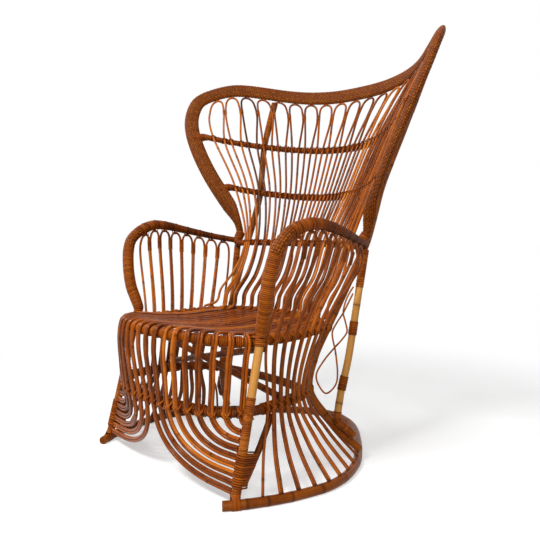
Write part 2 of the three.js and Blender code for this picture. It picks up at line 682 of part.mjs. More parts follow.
// One cane of a pair: way is -1 for the one nearer the middle of the chair and 1 for the other.
function caneOf(stations, way) {
  return stations.map(({ place, away, spread }, i) => {
    const before = stations[Math.max(i - 1, 0)].place;
    const after = stations[Math.min(i + 1, stations.length - 1)].place;
    const sideways = after.clone().sub(before).cross(away).normalize();
    return place.clone().addScaledVector(sideways, way * spread);
  });
}

const ARCH_SHARES = [[0.45, 0.05], [0.78, 0.2], [0.94, 0.5]]; // across from the middle, and down
function archPlace(hairpin, across, drop) {
  const first = neckPlace(hairpin - 0.5);
  const last = neckPlace(hairpin + 0.5);
  const edge = rimEdge(hairpin + across * (0.5 - caneSpread / ARCH_PITCH));
  const neck = first.clone().lerp(last, 0.5 + across * (0.5 - caneSpread / first.distanceTo(last)));
  return edge.lerp(neck, drop);
}
function archPoints(hairpin) {
  const side = (way) => ARCH_SHARES.map(([across, drop]) => archPlace(hairpin, way * across, drop));
  return [...side(-1).reverse(), rimEdge(hairpin), ...side(1)];
}

function hairpinPoints(hairpin) {
  const outer = caneOf(pairStations(hairpin + 1), -1);
  const inner = hairpin ? caneOf(pairStations(hairpin), 1) : mirrored(outer);
  return [...inner.reverse(), ...archPoints(hairpin), ...outer];
}
const cane = (points) => tube(points, CANE_DIAMETER, CANE_SIDES);
add('back_hairpin_middle', cane(hairpinPoints(0)), CANE);
for (let hairpin = 1; hairpin <= PAIRS; hairpin += 1) {
  addPair(`back_hairpin_${hairpin}`, cane, hairpinPoints(hairpin), CANE);
}

// Side hairpins: from the hoop up outside both rings to an arch under the arm, and down again.
const loopSpread = (LOOP_CANE_DIAMETER + GAP) / 2;
const loopToRing = (RING_DIAMETER + LOOP_CANE_DIAMETER) / 2 + GAP;
const SIDE_ARCH_SHARES = [[0.5, 0.06], [0.88, 0.35]];
const FLARE_SHARE = 0.38; // how far out a side cane is half-way down from the waist to the hoop

// The place at a drop below the point where a side cane touches the arm from below.
function underArm(y, drop) {
  const length = armRuler.lengthWhere((p) => (p.z > ARM_SHARES[0][2] * ARM_HEIGHT ? p.y - y : -1));
  const along = armRuler.tangent(length);
  const clear = (ARM_DIAMETER * armScale(armRuler.share(length)) + LOOP_CANE_DIAMETER) / 2 + GAP;
  return armRuler.at(length).sub(vec(0, 0, clear / Math.hypot(along.x, along.y) + drop));
}

function sideCane(row, way) {
  const share = row / SIDE_HAIRPINS;
  const shift = way * loopSpread;
  const ring = (ruler, first, last) => beside(
    ruler, ringPlace(ruler, lerp(first, last, share)) + shift, loopToRing,
  );
  const waist = ring(waistRuler, SIDE_WAIST_FIRST, SIDE_WAIST_LAST);
  const foot = hoopRuler.at(ringPlace(hoopRuler, lerp(SIDE_HOOP_FIRST, SIDE_HOOP_LAST, share)) + shift);
  const flare = waist.clone().lerp(foot, 0.5).setX(lerp(waist.x, foot.x, FLARE_SHARE));
  const neck = underArm(lerp(SIDE_ARM_FIRST, SIDE_ARM_LAST, share) + shift, SIDE_ARCH_DROP);
  const seat = ring(seatRuler, SIDE_SEAT_FIRST, SIDE_SEAT_LAST);
  return [neck, seat, waist, flare, standOnHoop(foot, flare, LOOP_CANE_DIAMETER)];
}

function sideHairpinPoints(hairpin) {
  const spacing = (SIDE_ARM_LAST - SIDE_ARM_FIRST) / SIDE_HAIRPINS;
  const middle = SIDE_ARM_FIRST + (hairpin + 0.5) * spacing;
  const reach = spacing / 2 - loopSpread;
  const side = (way) => SIDE_ARCH_SHARES.map(
    ([across, drop]) => underArm(middle + way * across * reach, drop * SIDE_ARCH_DROP),
  );
  const front = sideCane(hairpin, 1).reverse();
  const back = sideCane(hairpin + 1, -1);
  return [...front, ...side(-1).reverse(), underArm(middle, 0), ...side(1), ...back];
}
const loopCane = (points) => tube(points, LOOP_CANE_DIAMETER, CANE_SIDES);
for (let hairpin = 0; hairpin < SIDE_HAIRPINS; hairpin += 1) {
  addPair(`side_hairpin_${hairpin + 1}`, loopCane, sideHairpinPoints(hairpin), CANE);
}

// Scrolls: a thin cane bent in a figure of three lobes between each rear leg and rear post.
// Each place is a share of the way from post to leg, a share of the rise to the arm's end, and
// the side on which one strand passes the other.
const SCROLL_LOW_SHARE = 0.5; // of the seat's height
const SCROLL_SHARES = [
  [0.5, 0.707, 1], [0.1, 0.636, 1], [0.35, 0.53, 1], [0.96, 0.406, 1], [0.5, 0.3, 1],
  [0.07, 0.115, 1], [0.5, 0, 0], [0.92, 0.071, -1], [0.74, 0.212, -1], [0.5, 0.3, -1],
  [0.05, 0.406, -1], [0.35, 0.53, -1], [0.9, 0.663, -1],
];
// The distance along a way at which a scroll touches a pole that the way leaves.
function scrollTouch(ruler, length, diameter, way) {
  const lean = ruler.tangent(length).dot(way);
  return ((diameter + SCROLL_DIAMETER) / 2 + GAP) / Math.sqrt(1 - lean ** 2);
}
function scrollPoint([across, up, side]) {
  const z = lerp(SCROLL_LOW_SHARE * SEAT_HEIGHT, ARM_LEVEL.height, up);
  const postLength = lengthAtHeight(postRuler, z);
  const legLength = lengthAtHeight(rearLegRuler, z);
  const post = postRuler.at(postLength);
  const way = rearLegRuler.at(legLength).sub(post);
  const apart = way.length();
  way.normalize();
  const fromPost = scrollTouch(postRuler, postLength, POST_DIAMETER, way);
  const fromLeg = scrollTouch(rearLegRuler, legLength, REAR_LEG_DIAMETER, way);
  const normal = vec(-way.y, way.x, 0).normalize();
  return post.addScaledVector(way, lerp(fromPost, apart - fromLeg, across))
    .addScaledVector(normal, (side * (SCROLL_DIAMETER + GAP * 3)) / 2);
}
addPair(
  'side_scroll',
  (points) => tube(points, SCROLL_DIAMETER, CANE_SIDES, 2),
  SCROLL_SHARES.map(scrollPoint),
  CANE,
);

// The origin is on the floor, under the middle of the chair.
const box = new THREE.Box3().setFromObject(chair);
const centre = box.getCenter(new THREE.Vector3());
chair.children.forEach((mesh) => mesh.geometry.translate(-centre.x, -centre.y, -box.min.z));
export default chair;
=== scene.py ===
"""High-winged rattan armchair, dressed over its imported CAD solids. Metres, +Z up, front at -Y."""
import math
import random

import bpy
import numpy as np
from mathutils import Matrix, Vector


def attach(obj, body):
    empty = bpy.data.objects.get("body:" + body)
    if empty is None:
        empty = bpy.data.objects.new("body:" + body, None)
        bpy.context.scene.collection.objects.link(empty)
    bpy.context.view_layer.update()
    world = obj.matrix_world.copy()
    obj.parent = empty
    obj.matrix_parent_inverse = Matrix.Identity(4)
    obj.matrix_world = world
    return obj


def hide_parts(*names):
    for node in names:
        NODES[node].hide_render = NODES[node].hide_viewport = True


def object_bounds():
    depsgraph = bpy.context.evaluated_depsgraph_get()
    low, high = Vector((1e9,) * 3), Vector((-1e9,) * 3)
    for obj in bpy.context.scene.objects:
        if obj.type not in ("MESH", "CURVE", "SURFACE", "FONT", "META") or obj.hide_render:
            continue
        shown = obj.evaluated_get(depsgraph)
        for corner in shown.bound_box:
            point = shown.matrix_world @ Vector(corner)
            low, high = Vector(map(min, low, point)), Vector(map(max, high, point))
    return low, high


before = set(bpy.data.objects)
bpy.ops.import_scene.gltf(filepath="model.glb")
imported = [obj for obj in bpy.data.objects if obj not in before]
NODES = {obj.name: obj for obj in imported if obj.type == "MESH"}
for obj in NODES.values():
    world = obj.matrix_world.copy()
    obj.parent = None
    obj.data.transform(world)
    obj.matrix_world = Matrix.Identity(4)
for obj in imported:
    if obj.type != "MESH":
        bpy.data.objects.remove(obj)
CAD_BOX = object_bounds()
LOWEST, HIGHEST = (np.array(corner) for corner in CAD_BOX)
UP = np.array([0.0, 0.0, 1.0])
TURN = 2 * math.pi
SIDES = {"right": 1, "left": -1}

# Routes from the CAD tubes
CANE_CORNERS = 5  # of the section of a CAD cane
POLE_CORNERS = 8  # of the section of a CAD pole
WELD_DIGITS = 6
SAME_PLANE = 0.9999  # least cosine between the normals of coplanar faces


def unit(v):
    v = np.asarray(v, float)
    return v / np.maximum(np.linalg.norm(v, axis=-1, keepdims=True), 1e-12)


def reached(start, neighbours):
    """All that is reached from the start through neighbours, nearest first."""
    queue = [start]
    seen = {start}
    for item in queue:
        for other in neighbours(item):
            if other not in seen:
                seen.add(other)
                queue.append(other)
    return queue


def end_cap(points, tris, near, corners):
    """The corners of one of a tube's flat ends: a fan of corners - 2 coplanar triangles."""
    start = 0
    for _ in range(2):
        start = reached(start, near.__getitem__)[-1]
    normals = [unit(np.cross(points[b] - points[a], points[c] - points[a])) for a, b, c in tris]
    by_vertex = {}
    for i, t in enumerate(tris):
        for v in t:
            by_vertex.setdefault(v, []).append(i)

    def coplanar(i, normal):
        return [j for v in tris[i] for j in by_vertex[v] if normals[j] @ normal > SAME_PLANE]

    for first in by_vertex[start]:
        fan = reached(first, lambda i: coplanar(i, normals[first]))
        rim = set(v for i in fan for v in tris[i])
        if len(rim) == corners and len(fan) == corners - 2:
            return rim
    raise RuntimeError("no flat end found")


def cad_rings(name, corners):
    """The corners of each of a CAD tube's rings, from one end to the other."""
    mesh = NODES[name].data
    raw = np.empty(len(mesh.vertices) * 3)
    mesh.vertices.foreach_get("co", raw)
    rounded = np.round(raw.reshape(-1, 3), WELD_DIGITS)
    points, index = np.unique(rounded, axis=0, return_inverse=True)
    index = index.ravel()
    mesh.calc_loop_triangles()
    tris = [tuple(int(index[v]) for v in t.vertices) for t in mesh.loop_triangles]
    tris = [t for t in tris if len(set(t)) == 3]
    near = [set() for _ in points]
    for a, b, c in tris:
        near[a].update((b, c))
        near[b].update((a, c))
        near[c].update((a, b))
    layer = end_cap(points, tris, near, corners)
    seen = set(layer)
    rings = []
    while layer:
        rings.append(points[sorted(layer)])
        layer = set().union(*(near[v] for v in layer)) - seen
        seen |= layer
    return rings


def cad_route(name, corners, low_first=False):
    """Centres of a CAD tube's rings and the tube's radius at each."""
    rings = cad_rings(name, corners)
    if low_first and rings[0][:, 2].mean() > rings[-1][:, 2].mean():
        rings.reverse()
    centres = np.array([ring.mean(axis=0) for ring in rings])
    radii = [np.linalg.norm(ring - centre, axis=1).mean() for ring, centre in zip(rings, centres)]
    return centres, np.array(radii)


def cad_ovals(name, corners):
    """Centre, widest direction and half sizes of each ring of a tube with an oval section."""
    centres, wide_ways, halves = [], [], []
    for ring in cad_rings(name, corners):
        centre = ring.mean(axis=0)
        values, vectors = np.linalg.eigh((ring - centre).T @ (ring - centre) / len(ring))
        wide_way = vectors[:, 2]
        if wide_ways and wide_way @ wide_ways[-1] < 0:
            wide_way = -wide_way
        centres.append(centre)
        wide_ways.append(wide_way)
        halves.append((math.sqrt(2 * values[2]), math.sqrt(2 * values[1])))
    return np.array(centres), np.array(wide_ways), np.array(halves)


# Smooth paths
WAY_SPACING = 0.004
SPLINE_STEPS = 12  # between one centre and the next
NEAR_PARALLEL = 0.95  # cosine above which a path starts too steep for UP to set its frame
BESIDE = np.array([1.0, 0.2, 0.0])  # sets it then


def mirrored(v, across):
    """A vector mirrored in the plane square to another."""
    return v - 2 / (across @ across) * (across @ v) * across


def square_to(v, axis):
    """The part of a vector that is square to an axis of length 1."""
    return v - axis * (v @ axis)


class Way:
    """A smooth path through given centres, with a steady frame and a radius along it."""

    def __init__(self, centres, radii, spacing=WAY_SPACING):
        centres = np.asarray(centres, float)
        radii = np.broadcast_to(np.asarray(radii, float), (len(centres),))
        dense, values = self.through(centres, radii)
        steps = np.linalg.norm(np.diff(dense, axis=0), axis=1)
        reach = np.concatenate([[0], np.cumsum(steps)])
        self.length = float(reach[-1])
        self.stations = reach[::SPLINE_STEPS]
        self.s = np.linspace(0, self.length, int(self.length / spacing) + 1)
        self.p = np.stack([np.interp(self.s, reach, dense[:, k]) for k in range(3)], axis=1)
        self.r = np.interp(self.s, reach, values)
        self.t = unit(np.gradient(self.p, axis=0))
        self.n = self.steady()

    @staticmethod
    def through(centres, radii):
        """Centripetal Catmull-Rom through the centres, and the radii along it."""
        ends = np.vstack([2 * centres[0] - centres[1], centres, 2 * centres[-1] - centres[-2]])
        f = np.linspace(0, 1, SPLINE_STEPS, endpoint=False)[:, None]
        stretches = []
        for i in range(len(centres) - 1):
            p0, p1, p2, p3 = ends[i:i + 4]
            k1 = math.sqrt(np.linalg.norm(p1 - p0))
            k2 = k1 + math.sqrt(np.linalg.norm(p2 - p1))
            k3 = k2 + math.sqrt(np.linalg.norm(p3 - p2))
            k = k1 + (k2 - k1) * f
            a1 = (k1 - k) / k1 * p0 + k / k1 * p1
            a2 = (k2 - k) / (k2 - k1) * p1 + (k - k1) / (k2 - k1) * p2
            a3 = (k3 - k) / (k3 - k2) * p2 + (k - k2) / (k3 - k2) * p3
            b1 = (k2 - k) / k2 * a1 + k / k2 * a2
            b2 = (k3 - k) / (k3 - k1) * a2 + (k - k1) / (k3 - k1) * a3
            stretches.append((k2 - k) / (k2 - k1) * b1 + (k - k1) / (k2 - k1) * b2)
        dense = np.vstack(stretches + [centres[-1:]])
        place = np.arange(len(dense)) / SPLINE_STEPS
        return dense, np.interp(place, np.arange(len(centres)), radii)

    def steady(self):
        """A normal that turns as little as it can along the path."""
        side = BESIDE if abs(self.t[0] @ UP) > NEAR_PARALLEL else UP
        n = unit(square_to(side, self.t[0]))
        normals = [n]
        for i in range(1, len(self.p)):
            step = self.p[i] - self.p[i - 1]
            turned = self.t[i] - mirrored(self.t[i - 1], step)
            n = mirrored(mirrored(n, step), turned)
            normals.append(n)
        return np.array(normals)

    def at(self, s):
        """Place, direction, normal, second normal and radius at the lengths s."""
        s = np.asarray(s, float)
        flat = s.ravel()

        def pick(values):
            return np.stack([np.interp(flat, self.s, values[:, k]) for k in range(3)], axis=1)
        p, t, n = pick(self.p), unit(pick(self.t)), pick(self.n)
        n = unit(n - t * np.sum(n * t, axis=1, keepdims=True))
        b = np.cross(t, n)
        shape = s.shape + (3,)
        radius = np.interp(flat, self.s, self.r).reshape(s.shape)
        return p.reshape(shape), t.reshape(shape), n.reshape(shape), b.reshape(shape), radius

    def spot(self, s):
        """Place, direction and radius at one length."""
        p, t, _, _, r = self.at([s])
        return p[0], t[0], float(r[0])

    def nearest(self, point):
        """The length at which the path comes nearest to a point."""
        return float(self.s[np.argmin(np.linalg.norm(self.p - point, axis=1))])


def route_way(name, corners, scale, spacing=WAY_SPACING, low_first=False):
    """The path of a CAD tube, with its radius scaled."""
    centres, radii = cad_route(name, corners, low_first)
    return Way(centres, radii * scale, spacing)


def crossings(cane, pole, limit, below=math.inf):
    """Lengths along both where a cane passes a pole nearer than the limit, under a height."""
    distance = np.linalg.norm(cane.p[:, None] - pole.p[None], axis=2)
    nearest = distance.argmin(axis=1)
    best = distance.min(axis=1)
    found = []
    for i in range(1, len(best) - 1):
        least_here = best[i - 1] >= best[i] < best[i + 1]
        if least_here and best[i] < limit and cane.p[i, 2] < below:
            found.append((cane.s[i], pole.s[nearest[i]]))
    return found


# Meshes
CAP_SHADE = 0.6
POINT_VALUES = 5  # where the grain is read, tone, shade


class Skin:
    """Faces and surface values gathered for one object."""

    def __init__(self):
        self.co, self.values, self.quads, self.tris = [], [], [], []
        self.count = 0

    def points(self, co, grain, tone, shade):
        """Adds points, kept inside the CAD box, and returns the index of the first."""
        co = np.clip(co.reshape(-1, 3), LOWEST, HIGHEST)
        values = np.empty((len(co), POINT_VALUES))
        values[:, :3] = grain.reshape(-1, 3)
        values[:, 3] = np.ravel(tone)
        values[:, 4] = np.ravel(shade)
        self.co.append(co)
        self.values.append(values)
        self.count += len(co)
        return self.count - len(co)

    def grid(self, co, grain, tone, shade, skew=0):
        """A closed tube of rings: co is rings x columns x 3. With skew, the last column of a
        ring joins the first column of the ring that many further on."""
        rings, columns = co.shape[:2]
        base = self.points(co, grain, tone, shade)
        laid = self.co[-1]
        i, j = np.meshgrid(np.arange(rings - 1), np.arange(columns - 1), indexing="ij")
        a = base + i * columns + j
        quads = np.stack([a, a + 1, a + columns + 1, a + columns], axis=-1)
        self.quads.append(quads.reshape(-1, 4))
        i = np.arange(rings - 1 - skew)
        a = base + i * columns + columns - 1
        b = base + (i + skew) * columns
        self.quads.append(np.stack([a, b, b + columns, a + columns], axis=-1))
        top = base + (rings - 1) * columns
        skewed = np.arange(skew, 0, -1) * columns
        first = np.concatenate([base + np.arange(columns), base + skewed])
        last = np.concatenate([top + np.arange(columns)[::-1], top + columns - 1 - skewed])
        for loop, ring in ((first, laid[:columns]), (last, laid[-columns:])):
            middle = ring.mean(axis=0)[None]
            hub = self.points(middle, np.zeros((1, 3)), np.ravel(tone)[0], CAP_SHADE)
            self.tris.append(np.stack([np.full_like(loop, hub), np.roll(loop, -1), loop], axis=1))

    def object(self, name, slot, material, *nodes):
        """Makes the object, riding on the chair's one body and replacing CAD nodes."""
        mesh = bpy.data.meshes.new(name)
        co = np.vstack(self.co)
        values = np.vstack(self.values)
        quads = np.vstack(self.quads)
        tris = np.vstack(self.tris) if self.tris else np.zeros((0, 3), int)
        corners = np.concatenate([quads.ravel(), tris.ravel()])
        mesh.vertices.add(len(co))
        mesh.vertices.foreach_set("co", co.ravel())
        mesh.loops.add(len(corners))
        mesh.loops.foreach_set("vertex_index", corners)
        mesh.polygons.add(len(quads) + len(tris))
        starts = [np.arange(len(quads)) * 4, quads.size + np.arange(len(tris)) * 3]
        mesh.polygons.foreach_set("loop_start", np.concatenate(starts))
        smooth = np.arange(len(quads) + len(tris)) < len(quads)
        mesh.polygons.foreach_set("use_smooth", smooth)
        grain = mesh.attributes.new("grain", "FLOAT_VECTOR", "POINT")
        grain.data.foreach_set("vector", values[:, :3].ravel())
        for k, label in ((3, "tone"), (4, "shade")):
            layer = mesh.attributes.new(label, "FLOAT", "POINT")
            layer.data.foreach_set("value", values[:, k])
        uv = mesh.uv_layers.new(name="route")
        along, y, z = values[corners, :3].T
        uv.data.foreach_set("uv", np.stack([along, np.arctan2(z, y) / TURN], axis=1).ravel())
        mesh.update()
        mesh.validate()
        mesh.materials.append(material)
        piece = bpy.data.objects.new(name, mesh)
        bpy.context.scene.collection.objects.link(piece)
        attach(piece, "root")
        if nodes:
            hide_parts(*nodes)


def grain_of(along, angle, radius):
    """Where the surface's grain is read: along the piece, and round it."""
    places = np.broadcast_arrays(along, np.cos(angle) * radius, np.sin(angle) * radius)
    return np.stack(places, axis=-1)


# Bare canes and poles
FIRST_NODE = 0.03  # least length before a cane's first node
NODE_DARKNESS = 0.75
NODE_SHARPNESS = 2.2  # of its dark ring, beside the swelling


def nodes_along(seed, length, gap=(0.22, 0.42), rise=0.07, width=0.006):
    """Swellings and thin dark rings where a cane's nodes are."""
    source = random.Random(seed)
    places = []
    s = source.uniform(FIRST_NODE, gap[0])
    while s < length:
        places.append(s)
        s += source.uniform(*gap)

    def swell(s):
        factor = np.ones(len(s))
        shade = np.ones(len(s))
        for place in places:
            d = (s - place) / width
            factor += rise * np.exp(-d * d)
            shade -= NODE_DARKNESS * np.exp(-(d * NODE_SHARPNESS) ** 2)
        return factor, np.clip(shade, 0, 1)
    return swell


def round_tube(skin, way, sides, step, tone, swell, offset=0.0):
    """A bare pole or cane. swell(s) gives the factor on its radius, and its shade."""
    count = int(way.length / step) + 1
    s = np.linspace(0, way.length, count)
    factor, shade = swell(s)
    angle = np.arange(sides) / sides * TURN
    p, _, n, b, r = way.at(s)
    radius = (r * factor)[:, None]
    out = np.cos(angle)[:, None] * n[:, None] + np.sin(angle)[:, None] * b[:, None]
    co = p[:, None] + out * radius[..., None]
    grain = grain_of(s[:, None] + offset, angle, radius)
    skin.grid(co, grain, tone, np.broadcast_to(shade[:, None], (count, sides)))


# Windings
STRIP_ROUNDNESS = 0.8  # power of the crown's profile: the lower, the flatter the strip
# painted shade in the grooves between turns: the shade value at the bottom of a groove
GROOVE_SHADE = 0.06
TURN_UNEVENNESS = 0.25
WOUND_GRAIN_DEPTH = 0.01


def square_frame(across, t):
    """Normals of a path: the first lies as near as can be to a given direction."""
    n = unit(across - t * np.sum(across * t, axis=-1, keepdims=True))
    return n, np.cross(t, n)


def wound(skin, way, start, stop, pitch, crown, sides, tone, seed, scale=1.0, per=6, spread=0.16,
          oval=None):
    """A flat strip wound round a pole, turn beside turn, each turn crowned between grooves in
    painted shade.
    tone and scale may be functions of the length. An oval section is given by its widest
    direction and its half sizes."""
    source = random.Random(seed)
    rings = int((stop - start) / pitch * per) + per + 1
    angle = np.arange(sides) / sides * TURN
    i = np.arange(rings)[:, None]
    s = np.clip(start - pitch + (i / per + angle / TURN) * pitch, start, stop)
    fraction = (i % per) / per
    profile = np.sin(math.pi * fraction) ** STRIP_ROUNDNESS
    p, t, n, b, r = way.at(s)
    if oval is None:
        wide = deep = r * (scale(s) if callable(scale) else scale)
    else:
        across, *halves = oval
        n, b = square_frame(across, t)
        wide, deep = (np.full_like(s, half) for half in halves)
    jitter = np.array([source.uniform(-1, 1) for _ in range(rings // per + 3)])
    along = i // per + angle / TURN
    low = np.floor(along).astype(int)
    part = along - low
    base = tone(s) if callable(tone) else tone
    tones = base + spread * (jitter[low] * (1 - part) + jitter[low + 1] * part)
    height = crown * (profile - 1) * np.minimum(wide, deep)
    height = height * (1 + TURN_UNEVENNESS * jitter[low + 1])
    co = (p + ((wide + height) * np.cos(angle))[..., None] * n
          + ((deep + height) * np.sin(angle))[..., None] * b)
    round_way = along * TURN * float(np.mean(wide))
    grain = np.stack([round_way, s, np.full_like(s, WOUND_GRAIN_DEPTH)], axis=-1)
    # painted shade, darkest in the grooves between turns
    shade = np.broadcast_to(GROOVE_SHADE + (1 - GROOVE_SHADE) * profile, s.shape)
    skin.grid(co, grain, tones, shade, skew=per)


# Basket weave
WEAVE_STEPS = 4  # faces across a cell
WEAVE_ROUNDNESS = 0.6
LENGTHWISE_LOW = 0.55  # a strip's level at the ends of its cell, where it goes under
CROSSWISE_LOW = 0.4
WEAVE_RISE = 0.45  # from there to the middle of the cell
STRIP_TONE_SHARE = 0.5
CELL_TONE_SHARE = 0.8
# painted shade where a strip dips under the strip that crosses it
WEAVE_SHADE = 0.04
WEAVE_SHADE_POWER = 1.5
OUTLINE_STEPS = 720


def even_angles(wide, deep, count):
    """Angles that part an oval's outline into equal lengths."""
    fine = np.linspace(0, TURN, OUTLINE_STEPS + 1)
    steps = np.hypot(np.diff(np.cos(fine)) * wide, np.diff(np.sin(fine)) * deep)
    reach = np.concatenate([[0], np.cumsum(steps)])
    return np.interp(np.arange(count) / count * reach[-1], reach, fine)


def woven(skin, way, start, stop, section, cell, cells, lift, tone, spread, seed):
    """A basket weave round a pole: lengthwise strips over and under a strip wound round it.
    section(s) gives the pole's widest direction and its half sizes."""
    source = np.random.default_rng(seed)
    turns = int((stop - start) / cell)
    s = np.linspace(start, stop, turns * WEAVE_STEPS + 1)
    across, wide, deep = section(s)
    angle = even_angles(wide.max(), deep.max(), cells * WEAVE_STEPS)
    u = np.arange(len(s)) / WEAVE_STEPS
    v = np.arange(len(angle)) / WEAVE_STEPS
    iu, iv = np.floor(u).astype(int), np.floor(v).astype(int)
    over = ((iu[:, None] + iv[None]) % 2) == 0
    bow_u = np.sin(math.pi * (u - iu)[:, None]) ** WEAVE_ROUNDNESS
    bow_v = np.sin(math.pi * (v - iv)[None]) ** WEAVE_ROUNDNESS
    height = np.where(over, bow_v * (LENGTHWISE_LOW + WEAVE_RISE * bow_u),
                      bow_u * (CROSSWISE_LOW + WEAVE_RISE * bow_v))
    tone_u = source.uniform(-1, 1, turns + 2)
    tone_v = source.uniform(-1, 1, cells + 1)
    tone_cell = source.uniform(-1, 1, (turns + 2, cells + 1))[iu][:, iv]
    tone_strip = np.where(over, tone_v[iv][None], tone_u[iu][:, None])
    tones = tone + spread * (STRIP_TONE_SHARE * tone_strip + CELL_TONE_SHARE * tone_cell)
    p, t = way.at(s)[:2]
    n, b = square_frame(across, t)
    relief = lift * (height - 1)
    along_wide = (wide[:, None] + relief) * np.cos(angle)
    along_deep = (deep[:, None] + relief) * np.sin(angle)
    co = p[:, None] + along_wide[..., None] * n[:, None] + along_deep[..., None] * b[:, None]
    grain = np.stack([np.broadcast_to(s[:, None], relief.shape), along_wide, along_deep], axis=-1)
    # painted shade, darker where the weave is low
    skin.grid(co, grain, tones, WEAVE_SHADE + (1 - WEAVE_SHADE) * height ** WEAVE_SHADE_POWER)


# Ties and bindings
LOOP_STEPS = 24
LOOP_START = 0.01  # radians from the line between the discs to the first corner
STRIP_CORNERS = 6
SUNK_SHARE = 0.4  # of a strip's thickness, from what it is tied round to its middle
LOOP_GRAIN_STEP = 0.002
# painted shade at the edges of a tied strip
STRIP_EDGE_SHADE = 0.5
LEAN_LESS = 0.22  # for each further pair of strips in a lashing
LIFT_MORE = 0.0004  # for each further strip
LASH_SPREAD = 0.12
SLEEVE_PITCH = 0.0026
SLEEVE_SPACING = 0.002
SLEEVE_SPREAD = 0.1
SLEEVE_SIDES = 16
SLEEVE_STEPS = 4  # faces across a turn


def strip_loop(skin, centre, axis, toward, discs, lean, width, thick, tone, lift=0.0):
    """A flat strip tied tight round discs square to an axis, each (reach toward, radius). It
    leans to both sides along the axis."""
    first_way = unit(square_to(toward, axis))
    second_way = np.cross(axis, first_way)
    angle = np.arange(LOOP_STEPS) / LOOP_STEPS * TURN + LOOP_START
    c, d = np.cos(angle)[:, None], np.sin(angle)[:, None]
    outermost = np.argmax([reach * c[:, 0] + radius for reach, radius in discs], axis=0)
    reach, radius = np.array(discs)[outermost].T[..., None]
    over = radius + thick * SUNK_SHARE + lift
    place = centre + axis * lean * d + (reach + over * c) * first_way + over * d * second_way
    along = unit(np.roll(place, -1, axis=0) - np.roll(place, 1, axis=0))
    out = c * first_way + d * second_way
    out = unit(out - along * np.sum(out * along, axis=1, keepdims=True))
    side = np.cross(along, out)
    around = np.arange(STRIP_CORNERS) / STRIP_CORNERS * TURN
    co = (place[:, None] + side[:, None] * (np.cos(around)[:, None] * width / 2)
          + out[:, None] * (np.sin(around)[:, None] * thick / 2))
    grain = grain_of(np.arange(LOOP_STEPS)[:, None] * LOOP_GRAIN_STEP, around, width / 2)
    # painted shade, darker towards the strip's edges
    shade = STRIP_EDGE_SHADE + (1 - STRIP_EDGE_SHADE) * np.abs(np.sin(around))
    base = skin.points(co, grain, tone, np.broadcast_to(shade, co.shape[:2]))
    i, j = np.meshgrid(np.arange(LOOP_STEPS), np.arange(STRIP_CORNERS), indexing="ij")
    here = base + i * STRIP_CORNERS
    following = base + (i + 1) % LOOP_STEPS * STRIP_CORNERS
    beside = (j + 1) % STRIP_CORNERS
    quads = np.stack([here + j, here + beside, following + beside, following + j], axis=-1)
    skin.quads.append(quads.reshape(-1, 4))


def lash(skin, pole, s_pole, cane, s_cane, tone, source, turns, width, thick, spare):
    """Strips tied crosswise round a pole and over a cane that passes it. Their middles lean
    past the cane by half their width and the spare length."""
    p, t, pole_radius = pole.spot(s_pole)
    q, _, cane_radius = cane.spot(s_cane)
    toward = square_to(q - p, t)
    discs = [(0.0, pole_radius), (float(np.linalg.norm(toward)), cane_radius)]
    centre = p + t * ((q - p) @ t)
    half = cane_radius + width / 2 + spare
    for k in range(turns):
        lean = half * (1 if k % 2 else -1) * (1 - LEAN_LESS * (k // 2))
        own = tone + source.uniform(-LASH_SPREAD, LASH_SPREAD)
        strip_loop(skin, centre, t, toward, discs, lean, width, thick, own, LIFT_MORE * k)


def sleeve(skin, first, s_first, second, s_second, length, tone, seed, crown, spare):
    """A short binding wound round two canes that touch, thicker than them by the spare."""
    p, t, first_radius = first.spot(s_first)
    q, other_t, second_radius = second.spot(s_second)
    axis = unit(t + (other_t if t @ other_t > 0 else -other_t))
    middle = (p + q) / 2
    mean_radius = (first_radius + second_radius) / 2
    half_wide = float(np.linalg.norm(q - p)) / 2 + mean_radius + spare
    reach = axis * length / 2
    way = Way([middle - reach, middle, middle + reach], half_wide, SLEEVE_SPACING)
    wound(skin, way, 0, way.length, SLEEVE_PITCH, crown, SLEEVE_SIDES, tone, seed,
          per=SLEEVE_STEPS, spread=SLEEVE_SPREAD, oval=(q - p, half_wide, mean_radius + spare))


# Materials
PATCH_SCALE = 22.0
PORE_SCALE = 420.0
BUMP_STRENGTH = 0.25
BUMP_DEPTH = 0.0006
COAT_ROUGHNESS = 0.16
COAT_TINT = (1.0, 0.8, 0.6, 1)
SPECULAR_LEVEL = 0.17
SPECULAR_TINT = (1.0, 0.6, 0.32, 1)


def linear(colour):
    """Linear red, green, blue and alpha of a colour given in steps of 0 to 255."""
    return *(((c / 255 + 0.055) / 1.055) ** 2.4 if c > 10 else c / 255 / 12.92 for c in colour), 1


